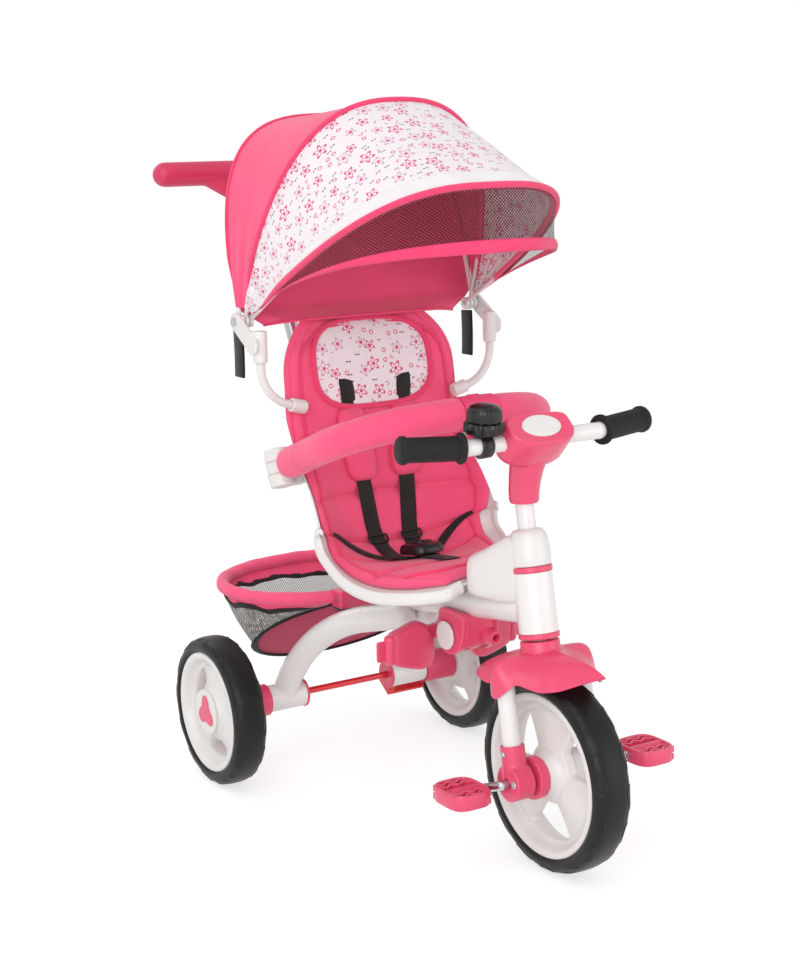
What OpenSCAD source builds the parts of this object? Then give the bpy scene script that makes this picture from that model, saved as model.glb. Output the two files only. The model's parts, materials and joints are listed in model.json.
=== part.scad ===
// Toddler push along trike in millimetres: +X forward, +Z up, origin on the floor under the middle

/* [View] */
// sub-part to draw

/* [Wheels] */
// front tyre radius
front_r = 130; // [115:1:145]
// front tyre width
front_w = 54; // [46:1:60]
// rear tyre radius
rear_r = 111; // [100:1:122]
// rear tyre width
rear_w = 50; // [42:1:54]
// tyre height above the rim
tyre_h = 21; // [15:1:26]
// rounding of the tyre shoulders
tyre_round = 10; // [6:1:13]
// front axle ahead of the rear axle
wheelbase = 538; // [500:1:580]
// rear wheel plane from the middle
rear_y = 216; // [206:1:226]
// wheel spokes
spokes = 3; // [3:1:6]
// thickness of the rim ring
rim_t = 5; // [3:0.5:8]
// thickness of the spoke web
web_t = 9; // [6:1:14]
// angle of one window between spokes
window_a = 66; // [40:1:80]
// front hub radius
hub_r = 24; // [18:1:28]
// front hub end on the clutch side
hub_right = 26; // [24:1:30]
// front hub end on the plain side
hub_left = 44; // [40:1:45]
// rear hub radius
rear_hub_r = 30; // [22:1:36]
// rear hub length
rear_hub_l = 48; // [40:1:50]
// rear axle pin radius
axle_r = 5; // [4:0.5:6]
// axle nut radius
nut_r = 8; // [7:0.5:10]
// axle nut thickness
nut_t = 4; // [3:0.5:5]
// hub cap radius
cap_r = 12; // [11:0.5:16]
// hub cap thickness
cap_t = 4; // [3:0.5:6]

/* [Steering and crank] */
// steering axis lean
rake = 10; // [5:0.5:15]
// steering tube radius
steerer_r = 12; // [10:0.5:14]
// steering tube top along the axis
steerer_top = 402; // [380:1:420]
// fork leg plane from the middle
fork_y = 61; // [58:1:66]
// fork leg radius
fork_r = 12; // [10:0.5:13]
// crown bar radius
crown_r = 11; // [9:0.5:12]
// crown bar height along the axis
crown_s = 145; // [143:1:150]
// fork end round housing radius
fork_end_r = 24; // [20:1:28]
// fork end width
fork_end_w = 28; // [26:1:30]
// fork end sleeve radius
fork_sleeve_r = 16; // [14:0.5:18]
// fork end sleeve top along the axis
fork_sleeve_top = 48; // [40:1:60]
// fork leg foot along the axis
fork_foot = 23; // [20:1:30]
// crank rod radius
crank_r = 6; // [5:0.5:7]
// crank arm length
crank_throw = 38; // [32:1:44]
// crank arm plane from the middle
crank_y = 84; // [83:1:88]
// crank angle below level
crank_a = 22; // [0:1:45]
// clutch disc radius
clutch_r = 28; // [24:1:32]
// clutch disc width
clutch_w = 14.5; // [12:0.5:16]
// pedal inner face from the middle
pedal_y = 92; // [91:1:96]
// pedal width along its pin
pedal_w = 58; // [50:1:66]
// pedal length
pedal_l = 68; // [60:1:76]
// pedal thickness
pedal_t = 20; // [18:1:24]
// pedal corner rounding
pedal_round = 10; // [6:1:14]
// ribs on each pedal face
pedal_ribs = 4; // [2:2:6]
// pedal rib radius
rib_r = 2; // [1:0.5:3]

/* [Mudguard] */
// mudguard reach ahead of the steering axis
guard_front = 130; // [110:1:140]
// mudguard reach behind the steering axis
guard_back = 103; // [90:1:110]
// mudguard half width over the fork
guard_half = 80; // [78:1:86]
// mudguard crest along the axis
guard_top = 168; // [166:1:170]
// mudguard wall
guard_t = 3; // [2:0.5:4]
// mudguard collar radius
collar_r = 25; // [20:1:28]
// mudguard collar top along the axis
collar_top = 172; // [171:0.5:174]

/* [Handlebar] */
// handlebar ahead of the steering axis
bar_x = 35; // [30:1:40]
// handlebar height along the axis
bar_s = 432; // [420:1:440]
// handlebar tube radius
bar_r = 11; // [9:0.5:12]
// half length of the straight middle
bar_half = 104; // [96:1:110]
// length of each swept end
bar_end = 86; // [70:1:95]
// sweep of the ends
bar_sweep = 10; // [0:1:20]
// rise of the ends
bar_rise = 3; // [0:1:8]
// grip radius
grip_r = 15.5; // [14:0.5:18]
// grip flange radius
flange_r = 20; // [18:0.5:23]
// grip flange width
flange_w = 5; // [3:0.5:7]
// cover barrel radius
cover_r = 24; // [20:1:26]
// cover half width
cover_half = 50; // [44:1:54]
// stem radius at the cover
stem_top_r = 22; // [18:1:23]
// stem radius at its foot
stem_foot_r = 19; // [16:1:20]
// stem foot along the axis
stem_foot = 356; // [350:1:362]
// badge plate length
badge_l = 58; // [50:1:64]
// badge plate height
badge_h = 34; // [28:1:38]
// badge plate thickness
badge_t = 3; // [2:0.5:4]
// badge plate lean above level
badge_a = 38; // [25:1:50]
// badge face from the handlebar centre
badge_reach = 28; // [26:1:32]

/* [Bell] */
// bell plane from the middle
bell_y = 77; // [72:1:80]
// bell clamp radius
bell_clamp_r = 15; // [14:0.5:17]
// bell clamp width
bell_clamp_w = 16; // [12:1:20]
// bell post radius
bell_post_r = 7; // [5:0.5:8]
// bell ring radius
bell_ring_r = 26; // [22:1:28]
// bell ring height
bell_ring_h = 14; // [10:1:18]
// scallops round the bell ring
bell_scallops = 12; // [8:1:16]
// scallop cut radius
scallop_r = 3.5; // [2:0.5:4]
// bell dome radius
bell_dome_r = 22; // [18:1:24]
// bell ring foot above the handlebar centre
bell_foot = 17; // [16:1:20]
// bell lean forward
bell_lean = 15; // [0:1:30]

/* [Frame] */
// spine tube radius
spine_r = 22; // [20:1:24]
// spine rear end ahead of the rear axle
spine_x = 188; // [180:1:200]
// spine rear end height
spine_z = 294; // [288:1:298]
// spine front end along the steering axis
spine_s = 215; // [205:1:230]
// head tube radius
head_r = 26; // [24:1:28]
// head tube bore radius
head_bore = 16; // [15:0.5:18]
// head tube foot along the axis
head_lo = 184; // [182:1:188]
// head tube top along the axis
head_hi = 262; // [255:1:268]
// head bushing flange height
bush_h = 8; // [6:0.5:10]
// head bushing sleeve length
bush_l = 20; // [14:1:26]
// tail tube radius
tail_r = 16; // [14:1:18]
// tail tube end height
tail_z = 276; // [270:1:282]
// rear leg tube radius
leg_r = 19; // [17:0.5:20]
// rear leg start ahead of the rear axle
leg_x = 205; // [195:1:215]
// rear leg start from the middle
leg_y = 20; // [20:1:24]
// rear leg start height
leg_z = 268; // [262:1:274]
// rear leg slope at its start
leg_a = 12; // [8:1:20]
// rear leg slope at the axle
leg_b = 72; // [60:1:80]
// axle housing radius
house_r = 20.5; // [20:0.5:24]
// axle housing inner end from the middle
house_in = 78; // [74:1:82]
// axle housing outer end from the middle
house_out = 138; // [132:1:142]
// axle housing outer wall thickness
house_wall = 12; // [9:1:16]
// axle housing side wall thickness
house_side = 2.5; // [2:0.5:4]
// axle cap flange radius
axle_cap_r = 22; // [20:0.5:25]
// axle cap flange thickness
axle_cap_t = 4; // [3:0.5:6]
// nose cover reach behind the steering axis at the floor line
nose_l = 96; // [85:1:110]
// nose cover half width at the seat
nose_half = 44; // [36:1:52]
// nose cover foot height
nose_z = 340; // [332:1:348]
// nose cover height at the seat
nose_low = 404; // [395:1:412]
// nose cover height at the neck
nose_high = 436; // [425:1:445]
// neck collar top along the axis
neck_top = 318; // [310:1:330]
// neck collar radius at its top
neck_r = 21; // [18:0.5:24]

/* [Seat] */
// seat pan front behind the front axle
seat_setback = 136; // [130:1:143]
// seat pan front height
seat_z = 366; // [362:1:372]
// seat pan length
pan_l = 194; // [180:1:205]
// seat pan tilt
pan_a = 10.5; // [6:0.5:14]
// radius between pan and back
corner_r = 75; // [60:1:90]
// seat back length
back_l = 317; // [290:1:330]
// seat back recline
back_a = 11; // [6:0.5:16]
// seat half width
seat_half = 148; // [140:1:150]
// seat side wing depth at the hips
wing_h = 85; // [60:1:95]
// shell wall
shell_t = 5; // [4:0.5:7]
// cushion thickness
pad_t = 21; // [14:1:26]
// cushion edge thickness
pad_edge = 6; // [4:0.5:10]
// depth of the sewn channels
channel_d = 7; // [4:0.5:9]
// cushion underside above the shell
pad_gap = 1.8; // [1.6:0.1:2.4]
// cushion fields between the channels
fields = 6; // [6:1:11]
// half width of the cushion at its lower edge as a share of the shell
pad_share = 0.87; // [0.8:0.01:0.92]

/* [Harness] */
// strap width
strap_w = 26; // [20:1:32]
// strap thickness
strap_t = 1.8; // [1.4:0.1:2.4]
// gap that keeps soft pieces apart
soft_gap = 0.6; // [0.4:0.1:1]
// shoulder pad half width
pad_half = 26; // [20:1:30]
// shoulder pad thickness
shoulder_t = 13; // [8:1:16]
// buckle length along the seat
buckle_l = 62; // [50:1:70]
// buckle width
buckle_w = 52; // [44:1:60]
// buckle thickness
buckle_t = 16; // [12:1:20]
// buckle button radius
button_r = 11; // [8:0.5:14]
// buckle button stand-out
button_out = 3; // [2:0.5:4]
// button pocket depth
button_deep = 8; // [7:0.5:10]

/* [Guard rail] */
// rail hinge behind the pan
rail_setback = 96; // [88:1:103]
// rail hinge height
rail_z = 487; // [478:1:495]
// rail plane rise to the front
rail_a = 20; // [12:1:26]
// rail arm outside the seat's half width
rail_out = 12; // [10:1:22]
// rail straight arm length
rail_arm = 142; // [130:1:150]
// rail corner radius
rail_r = 130; // [120:1:131]
// foam radius
foam_r = 22; // [18:1:24]
// rail core radius
core_r = 8; // [6:0.5:10]
// rail clip radius
clip_r = 23.5; // [20:0.5:26]
// rail clip half width
clip_half = 27; // [24:1:28]
// hinge barrel radius
barrel_r = 18; // [16:1:20]
// hinge barrel half height
barrel_half = 27; // [24:1:32]
// rail eye half height
eye_half = 8.5; // [7:0.5:10]
// hinge pin radius
hinge_r = 4; // [3:0.5:5]
// clip button length
clip_button_l = 18; // [14:1:22]
// clip button width
clip_button_w = 11; // [9:1:14]

/* [Canopy] */
// canopy pivot behind the pan
pivot_setback = 128; // [113:1:138]
// canopy pivot height
pivot_z = 694; // [685:1:700]
// rear bow ends outside the seat's half width
pivot_out = 48; // [44:1:52]
// step between bow ends on the pivot
bow_step = 7; // [6.6:0.1:8]
// bow wire radius
wire_r = 3; // [2.5:0.5:3]
// bow heights, rear to visor edge
bow_h = [285, 312, 380, 365];
// bow angles from level, rear to visor edge
bow_a = [104, 69, 28.5, 15.5];
// bow roundness, rear to visor edge
bow_n = [3.2, 2.5, 3, 2.6];
// bow eye radius
bow_eye_r = 9; // [7:0.5:11]
// bow eye thickness
bow_eye_t = 5; // [4:0.5:6]
// cloth thickness
cloth_t = 1.6; // [1.2:0.1:2.4]
// lower edge of the cloth from the pivot
cloth_low = 20; // [14:1:30]
// canopy post behind the pan
post_setback = 80; // [74:1:86]
// canopy post outside the seat's half width
post_out = 44; // [42:1:47]
// canopy post radius
post_r = 6; // [5:0.5:7]
// canopy post bend radius
post_bend = 55; // [45:1:65]
// canopy post bend angle
post_a = 75; // [60:1:85]
// canopy post straight foot length
post_foot = 14; // [10:1:20]
// canopy post bend top height
post_z = 632; // [625:1:640]
// sleeve radius on the post
sleeve_r = 10; // [9:0.5:12]
// sleeve foot height
sleeve_lo = 640; // [635:1:650]
// sleeve top height
sleeve_hi = 684; // [675:1:686]
// bracket plate thickness
plate_t = 6; // [4:0.5:8]
// bracket plate half height
plate_half = 13; // [10:1:16]
// hanging strap width
tail_w = 28; // [22:1:32]
// hanging strap length
tail_l = 84; // [60:1:100]

/* [Push handle] */
// handle socket ahead of the rear axle
handle_x = 46; // [40:1:52]
// handle socket height
handle_z = 285; // [280:1:290]
// handle lean back
handle_a = 26; // [20:1:30]
// socket radius
socket_r = 20; // [18:1:22]
// socket half length
socket_half = 45; // [38:1:50]
// lower tube radius
lower_r = 14; // [13:0.5:15]
// lower tube top along the handle
lower_top = 330; // [300:1:350]
// upper tube radius
upper_r = 11; // [10:0.5:12]
// upper tube foot along the handle
upper_foot = 150; // [120:1:170]
// collar half length
lock_half = 20; // [16:1:26]
// hand bar along the handle
hand_s = 676; // [650:1:690]
// hand bar radius
hand_r = 19; // [16:0.5:20]
// hand bar half length to its round ends
hand_half = 150; // [130:1:160]
// hand strut radius
strut_r = 11; // [9:0.5:13]
// hand strut end from the middle
strut_y = 95; // [80:1:110]
// hand stem radius
hand_stem_r = 16; // [14:0.5:18]
// hand stem length
hand_stem_l = 76; // [60:1:90]

/* [Basket] */
// basket rim half width
rim_half = 165; // [150:1:180]
// basket rim half length
rim_l = 129; // [115:1:140]
// basket rim centre behind the rear axle
rim_back = 53; // [45:1:60]
// basket rim height
rim_z = 274; // [268:1:282]
// basket rim roundness
rim_n = 2.1; // [2:0.1:2.6]
// basket rim tube radius
rim_r = 9.5; // [8:0.5:11]
// angle left open at the rim front
rim_gap_a = 17; // [14:1:24]
// bag floor half width
floor_half = 140; // [120:1:150]
// bag floor half length
floor_l = 58; // [45:1:70]
// bag floor centre behind the rear axle
floor_back = 20; // [10:1:40]
// bag floor centre height
floor_z = 200; // [190:1:210]
// bag floor slope up to the front
floor_slope_share = 0.93; // [0.7:0.01:1]
// bag wall
bag_t = 1.6; // [1.2:0.1:2.4]
// rim bracket height
basket_plate_h = 26; // [20:1:30]
// rim bracket length
basket_plate_l = 30; // [24:1:36]

/* [Footrest] */
// footrest hinge behind the front axle
rest_setback = 202; // [198:1:208]
// footrest hinge height
rest_z = 272; // [266:1:276]
// bracket half width
rest_half = 30; // [26:1:34]
// bracket round radius
rest_r = 23; // [20:1:24]
// bracket length ahead of the hinge
rest_l = 46; // [38:1:54]
// footrest arm inner face from the middle
arm_in = 8; // [6:0.5:10]
// footrest arm width
arm_w = 12; // [9:0.5:13]
// footrest arm eye radius
arm_eye_r = 13; // [11:0.5:15]
// foot plate behind the hinge
plate_back = 28; // [26:1:34]
// foot plate thickness
foot_t = 19; // [14:1:22]
// foot plate height
foot_h = 78; // [66:1:84]
// foot plate top below the hinge
foot_up = 9; // [5:1:12]
// foot plate outer side from the middle
foot_y = 98; // [86:1:106]
// foot plate corner rounding
foot_round = 14; // [8:1:18]
// pin cap radius
pin_cap_r = 20; // [16:0.5:21]
// pin cap thickness
pin_cap_t = 5; // [3:0.5:7]
// front boss radius
boss_r = 11; // [9:0.5:13]
// front boss hole radius
boss_hole = 5; // [4:0.5:6]
// front boss length
boss_l = 12; // [8:1:16]

/* [Brake] */
// brake rod radius
rod_r = 5; // [4:0.5:6]
// brake cam radius
cam_r = 16; // [14:0.5:17]
// brake cam thickness
cam_t = 6; // [5:0.5:8]
// lock pin radius
lock_r = 3; // [2.5:0.5:3.5]
// lock pin circle radius
lock_ring_r = 14; // [12:0.5:15]
// lock pin length
lock_l = 24; // [20:1:26]
// drum radius
drum_r = 24; // [22:1:28]
// notches in the drum
notches = 12; // [12:12:24]
// notch depth
notch_d = 12; // [9:1:15]
// brake pedal plane from the middle
brake_y = 96; // [90:1:100]
// brake pedal arm width
brake_arm_w = 9; // [7:0.5:11]
// brake pedal arm length
brake_arm_l = 44; // [36:1:52]
// brake pedal arm angle behind straight down
brake_a = 35; // [20:1:50]
// brake pedal travel
brake_travel = 18; // [12:1:24]
// brake tread width
tread_w = 68; // [56:1:76]
// brake tread length
tread_l = 30; // [24:1:36]
// brake tread thickness
tread_t = 7; // [5:0.5:9]

/* [Fits] */
// running clearance of turning shafts
run_fit = 0.06; // [0.02:0.01:0.1]
// clearance between moving pieces
move_gap = 0.6; // [0.4:0.1:1]
// clearance of fixed joints
fix_gap = 0.1; // [0.05:0.05:0.3]
// overrun of cuts
over = 1; // [0.5:0.5:2]
// weld ring round a tube joint, over the tube
weld_t = 0.4; // [0.3:0.1:0.8]
// weld ring to each side of a tube joint
weld_l = 2; // [1:0.5:4]

/* [Colours] */
// pink plastic
pink = "#EE4876";
// pink cloth and foam
cloth_pink = "#F0557D";
// dark pink handle
crimson = "#CD2D55";
// white paint and plastic
white = "#F2F1F0";
// printed cloth
print_pale = "#F8E4EA";
// black rubber and webbing
black = "#2D2A2A";
// grey net
net_grey = "#8A8A88";
// brake red
red = "#D71E28";
// bare steel
steel = "#B9BCC0";

/* [Hidden] */
$fn = 48;
// middle of the overall length, moved to the origin
hand_rear = handle_x - hand_s * sin(handle_a) - hand_r;
mid_x = (wheelbase + front_r + hand_rear) / 2;
// seat and footrest from the front axle, rail and canopy from the seat
seat_x = wheelbase - seat_setback;
rest_x = wheelbase - rest_setback;
pan_rear_x = seat_x - pan_l;
rail_x = pan_rear_x - rail_setback;
pivot_x = pan_rear_x - pivot_setback;
post_x = pan_rear_x - post_setback;
rail_half = seat_half + rail_out;
pivot_y = seat_half + pivot_out;
post_y = seat_half + post_out;
// points of the frame
spine_rear = [spine_x, 0, spine_z];
spine_front = [wheelbase - spine_s * sin(rake), 0, front_r + spine_s * cos(rake)];
tail_end = [handle_x, 0, tail_z];
// rear leg arc from its slopes and its two ends
house_mid = (house_in + house_out) / 2;
leg_run = norm([leg_x, house_mid - leg_y]);
leg_drop = leg_z - rear_r;
leg_arc_r = (leg_drop * cos(leg_a) - leg_run * sin(leg_a)) / (1 - cos(leg_b - leg_a));
leg_straight = (leg_run - leg_arc_r * (sin(leg_b) - sin(leg_a))) / cos(leg_a);
// housing cavity
cavity_r = house_r - house_side;
wall_in = house_out - house_wall;
// seat line: headings of pan and back, corner arc, whole length
head_pan = 180 + pan_a;
head_back = 90 + back_a;
corner_l = corner_r * (head_pan - head_back) * PI / 180;
seat_l = pan_l + corner_l + back_l;
// half width along the seat, front edge to top
half_shares = [0.5, 0.76, 0.9, 0.97, 1, 1, 0.99, 0.97, 0.95, 0.94, 0.93, 0.92, 0.9];
// side wing along the seat, front edge to top
wing_shares = [-0.16, -0.14, -0.06, 0.2, 0.72, 1, 0.95, 0.72, 0.34, 0.2, 0.25, 0.27, 0.2];
// where the rounded top starts, and how much of the width it takes off
tip_share = 0.85;
tip_cut_share = 0.72;
// power of the wing's rise across the seat, of the cushion's crown and of a channel's width
wing_power = 3;
crown_power = 5;
channel_power = 9;
// front edge of the cushion along the seat and the run it covers
pad_lo_share = 0.02;
pad_run_share = 0.96;
// edge of a shoulder pad as a share of its thickness
edge_share = 0.35;
// pads under the pan along the seat
foot_shares = [0.1, 0.24];
// places within one cushion field, from channel to channel
field_shares = [0, 0.1, 0.28, 0.5, 0.72, 0.9];
// where harness pieces lie along and across the seat
slot_share = 0.87;
buckle_share = 0.27;
shoulder_share = 0.34;
buckle_side_share = 0.12;
hip_share = 0.47;
hip_side_share = 0.8;
lap_end_share = 0.29;
lap_side_share = 0.13;
crotch_share = 0.14;
crotch_end_share = 0.24;
pad_top_share = 0.82;
pad_foot_share = 0.61;
// canopy
strap_top = pad_t + 3 * soft_gap + strap_t;
cloth_in = wire_r + soft_gap;
visor_y = pivot_y - 2 * bow_step;
// fullness of the cloth between the bows, and how far the visor keeps from the pivot along its bow
full_share = 0.2;
visor_share = 0.2;
// cloth left off at a seam, hem of the back panel and how far its sides keep inside the bow
seam_share = 0.02;
hem_share = 0.06;
inside_share = 0.985;
// lower end of the bracket plate under the sleeve top, in plate half heights
low_share = 1.5;
// guard rail
rail_front = rail_arm + rail_r;
arc_y = rail_half - rail_r;

// shared helpers

// rods along one axis from one place to another
module rod_x(r, from, to) {
    translate([from, 0, 0]) rotate([0, 90, 0]) cylinder(r = r, h = to - from);
}
module rod_y(r, from, to) {
    translate([0, from, 0]) rotate([-90, 0, 0]) cylinder(r = r, h = to - from);
}
module rod_z(r, from, to) {
    translate([0, 0, from]) cylinder(r = r, h = to - from);
}
// rod between two points, with its radius at each
module rod(a, b, r, r_end) {
    d = b - a;
    translate(a) rotate([0, acos(d.z / norm(d)), atan2(d.y, d.x)])
        cylinder(r1 = r, r2 = r_end, h = norm(d));
}
module ball(p, r) {
    translate(p) sphere(r);
}
// a piece on the right and its mirror image on the left
module both_sides() {
    children();
    mirror([0, 1, 0]) children();
}
// block between two corners
module block(a, b) {
    translate(a) cube(b - a);
}
// frames of the steering axis, the two axles, the guard rail, the handle and the canopy pivot
module steer() {
    translate([wheelbase, 0, front_r]) rotate([0, -rake, 0]) children();
}
module front_axle() {
    translate([wheelbase, 0, front_r]) children();
}
module rear_axle() {
    translate([0, 0, rear_r]) children();
}
module rail_plane() {
    translate([rail_x, 0, rail_z]) rotate([0, -rail_a, 0]) children();
}
module handle_line() {
    translate([handle_x, 0, handle_z]) rotate([0, -handle_a, 0]) children();
}
// everything moved so that the origin lies under the middle
module place() {
    translate([-mid_x, 0, 0]) children();
}
// smooth curve through evenly spaced values
function curve(v, f) = let (n = len(v) - 1, i = min(floor(f * n), n - 1), x = f * n - i,
    a = v[max(i - 1, 0)], b = v[i], c = v[i + 1], d = v[min(i + 2, n)])
    b + x * ((c - a) + x * ((2 * a - 5 * b + 4 * c - d) + x * (3 * b - a - 3 * c + d))) / 2;
// closed solid between two grids of points, the first grid on its outside
module between(a, b) {
    m = len(a);
    n = len(a[0]);
    o = m * n;
    top = [for (i = [0:m - 2], j = [0:n - 2]) let (p = i * n + j)
        each [[p, p + 1, p + n + 1], [p, p + n + 1, p + n]]];
    edge = concat([for (j = [0:n - 1]) j], [for (i = [1:m - 1]) i * n + n - 1],
        [for (j = [n - 2:-1:0]) (m - 1) * n + j], [for (i = [m - 2:-1:1]) i * n]);
    rim = [for (k = [0:len(edge) - 1]) let (p = edge[k], q = edge[(k + 1) % len(edge)])
        each [[q, p, o + p], [q, o + p, o + q]]];
    bottom = [for (f = top) [o + f[2], o + f[1], o + f[0]]];
    polyhedron([for (r = concat(a, b)) each r], concat(top, rim, bottom));
}
// closed skin over rings of points, with flat ends
module skin(rings) {
    m = len(rings);
    n = len(rings[0]);
    sides = [for (i = [0:m - 2], j = [0:n - 1]) let (p = i * n, k = (j + 1) % n)
        each [[p + j, p + n + j, p + n + k], [p + j, p + n + k, p + k]]];
    ends = [[for (j = [0:n - 1]) j], [for (j = [n - 1:-1:0]) (m - 1) * n + j]];
    polyhedron([for (r = rings) each r], concat(sides, ends));
}
// tube rings along a flat path whose plane has the given normal
function tube(path, r, normal, sides) = [for (i = [0:len(path) - 1])
    let (d = path[min(i + 1, len(path) - 1)] - path[max(i - 1, 0)], u = cross(normal, d / norm(d)))
    [for (k = [0:sides - 1]) path[i] + r * (cos(360 * k / sides) * u + sin(360 * k / sides) * normal)]];
// point on a superellipse quarter by quarter
function round_to(n, v) = sign(v) * pow(abs(v), 2 / n);

// wheels

// tyre about its axle, along Y
module tyre(r, w) {
    edge = w / 2 - tyre_round;
    rotate([-90, 0, 0]) rotate_extrude() {
        translate([r - tyre_h, -w / 2]) square([tyre_h - tyre_round, w]);
        translate([r - tyre_h, -edge]) square([tyre_h, 2 * edge]);
        for (s = [-1, 1]) translate([r - tyre_round, s * edge]) circle(tyre_round);
    }
}
// rim with spokes, its hub from one place to another along Y
module rim(r, w, hub, bore, from, to) {
    seat = r - tyre_h - fix_gap;
    inner = seat - rim_t;
    rotate([-90, 0, 0]) difference() {
        rotate_extrude() {
            translate([inner, -w / 2 + over]) square([rim_t, w - 2 * over]);
            translate([bore, -web_t / 2]) square([seat - bore - rim_t / 2, web_t]);
            translate([bore, from]) square([hub - bore, to - from]);
        }
        for (i = [1:spokes]) rotate([0, 0, i * 360 / spokes + crank_a])
            translate([0, 0, -web_t]) linear_extrude(2 * web_t) intersection() {
                difference() {
                    circle(inner - rim_t);
                    circle(hub + rim_t);
                }
                polygon([[0, 0], [r, -r * tan(window_a / 2)], [r, r * tan(window_a / 2)]]);
            }
    }
}
module front_tyre() {
    color(black) front_axle() tyre(front_r, front_w);
}
module front_rim() {
    color(white) front_axle() rim(front_r, front_w, hub_r, crank_r + run_fit, -hub_right, hub_left);
}
module clutch_ring() {
    from = -hub_right - move_gap - clutch_w;
    color(pink) front_axle() difference() {
        rod_y(clutch_r, from, from + clutch_w);
        rod_y(crank_r + run_fit, from - over, from + clutch_w + over);
    }
}
module rear_tyre() {
    color(black) rear_axle() translate([0, -rear_y, 0]) tyre(rear_r, rear_w);
}
// rear rim with its pressed-in hub cap, right side
module rear_rim() {
    in = rear_hub_l / 2;
    nut_in = -in + cap_t + nut_t + 2 * move_gap;
    color(white) rear_axle() translate([0, -rear_y, 0]) {
        difference() {
            rim(rear_r, rear_w, rear_hub_r, axle_r + run_fit, -in, in);
            rod_y(cap_r, -in - over, nut_in);
        }
        rod_y(cap_r - fix_gap, -in, -in + cap_t);
    }
}
// drum with lock notches on its inner face, right side
module brake_drum() {
    from = -rear_y + rear_hub_l / 2 + fix_gap;
    to = -house_out - 2 * move_gap;
    color(pink) rear_axle() difference() {
        rod_y(drum_r, from, to);
        rod_y(axle_r + run_fit, from - over, to + over);
        for (i = [1:notches]) rotate([0, i * 360 / notches, 0]) translate([0, 0, lock_ring_r])
            rod_y(lock_r + move_gap, to - notch_d, to + over);
    }
}

// fork, crank and pedals

module fork() {
    color(white) steer() {
        rod_z(steerer_r, crown_s, steerer_top);
        translate([0, 0, crown_s]) rod_y(crown_r, -fork_y, fork_y);
        both_sides() {
            translate([0, -fork_y, 0]) rod_z(fork_r, fork_foot, crown_s);
            ball([0, -fork_y, crown_s], fork_r);
        }
    }
}
module fork_ends() {
    from = -fork_y - fork_end_w / 2;
    color(pink) steer() both_sides() difference() {
        union() {
            rod_y(fork_end_r, from, from + fork_end_w);
            translate([0, -fork_y, 0]) rod_z(fork_sleeve_r, 0, fork_sleeve_top);
        }
        rod_y(crank_r + run_fit, -fork_y - fork_sleeve_r - over, -fork_y + fork_sleeve_r + over);
        translate([0, -fork_y, 0]) rod_z(fork_r + fix_gap, fork_foot - fix_gap, fork_sleeve_top + over);
    }
}
// where the right pedal pin lies about the front axle
pin_dx = -crank_throw * cos(crank_a);
pin_dz = -crank_throw * sin(crank_a);
pin_end = pedal_y + pedal_w - 2 * over;
module crank() {
    color(steel) front_axle() {
        rod_y(crank_r, -crank_y, crank_y);
        for (s = [-1, 1]) {
            bend = [0, s * crank_y, 0];
            tip = [-s * pin_dx, s * crank_y, -s * pin_dz];
            rod(bend, tip, crank_r, crank_r);
            rod(tip, tip + [0, s * (pin_end - crank_y), 0], crank_r, crank_r);
            ball(bend, crank_r + weld_t);
            ball(tip, crank_r + weld_t);
        }
    }
}
// pedal about its pin, right side
module pedal() {
    x = pedal_l / 2;
    z = pedal_t / 2;
    y0 = -pedal_y - pedal_w;
    in = pedal_round;
    difference() {
        union() {
            block([-x + in, y0, -z], [x - in, -pedal_y, z]);
            block([-x, y0 + in, -z], [x, -pedal_y - in, z]);
            for (a = [-1, 1], y = [y0 + in, -pedal_y - in])
                translate([a * (x - in), y, 0]) rod_z(in, -z, z);
            for (i = [1:pedal_ribs], a = [-1, 1])
                translate([-x + i * pedal_l / (pedal_ribs + 1), 0, a * z])
                    rod_y(rib_r, y0 + in, -pedal_y - in);
        }
        rod_y(crank_r + run_fit, -pin_end - over / 2, -pedal_y + over);
    }
}
module pedal_right() {
    color(pink) front_axle() translate([pin_dx, 0, pin_dz]) pedal();
}
module pedal_left() {
    color(pink) front_axle() translate([-pin_dx, 0, -pin_dz]) mirror([0, 1, 0]) pedal();
}

// mudguard

// its half width, crest and side drop along the reach, from back to front
guard_half_shares = [0.25, 0.5, 0.82, 1, 0.93, 0.8, 0.62, 0.2];
guard_crest_shares = [0.8, 0.93, 0.99, 1, 0.99, 0.95, 0.89, 0.8];
guard_drop_shares = [0.04, 0.16, 0.32, 0.36, 0.28, 0.22, 0.15, 0.03];
guard_power = 4;
function guard_row(f, t, out) = let (w = curve(guard_half_shares, f) * guard_half - (guard_t - out),
    z = curve(guard_crest_shares, f) * guard_top, d = curve(guard_drop_shares, f) * guard_top)
    [f * (guard_front + guard_back) - guard_back, w * round_to(guard_power, sin(90 * t)),
        z - d * (1 - round_to(guard_power, cos(90 * t))) - guard_t + out];
module mudguard() {
    rows = [for (i = [0:22]) i / 22];
    cols = [for (j = [-9:9]) j / 9];
    color(pink) steer() {
        between([for (f = rows) [for (t = cols) guard_row(f, t, guard_t)]],
            [for (f = rows) [for (t = cols) guard_row(f, t, 0)]]);
        rod_z(collar_r, guard_top + fix_gap, collar_top);
    }
}

// handlebar

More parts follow.
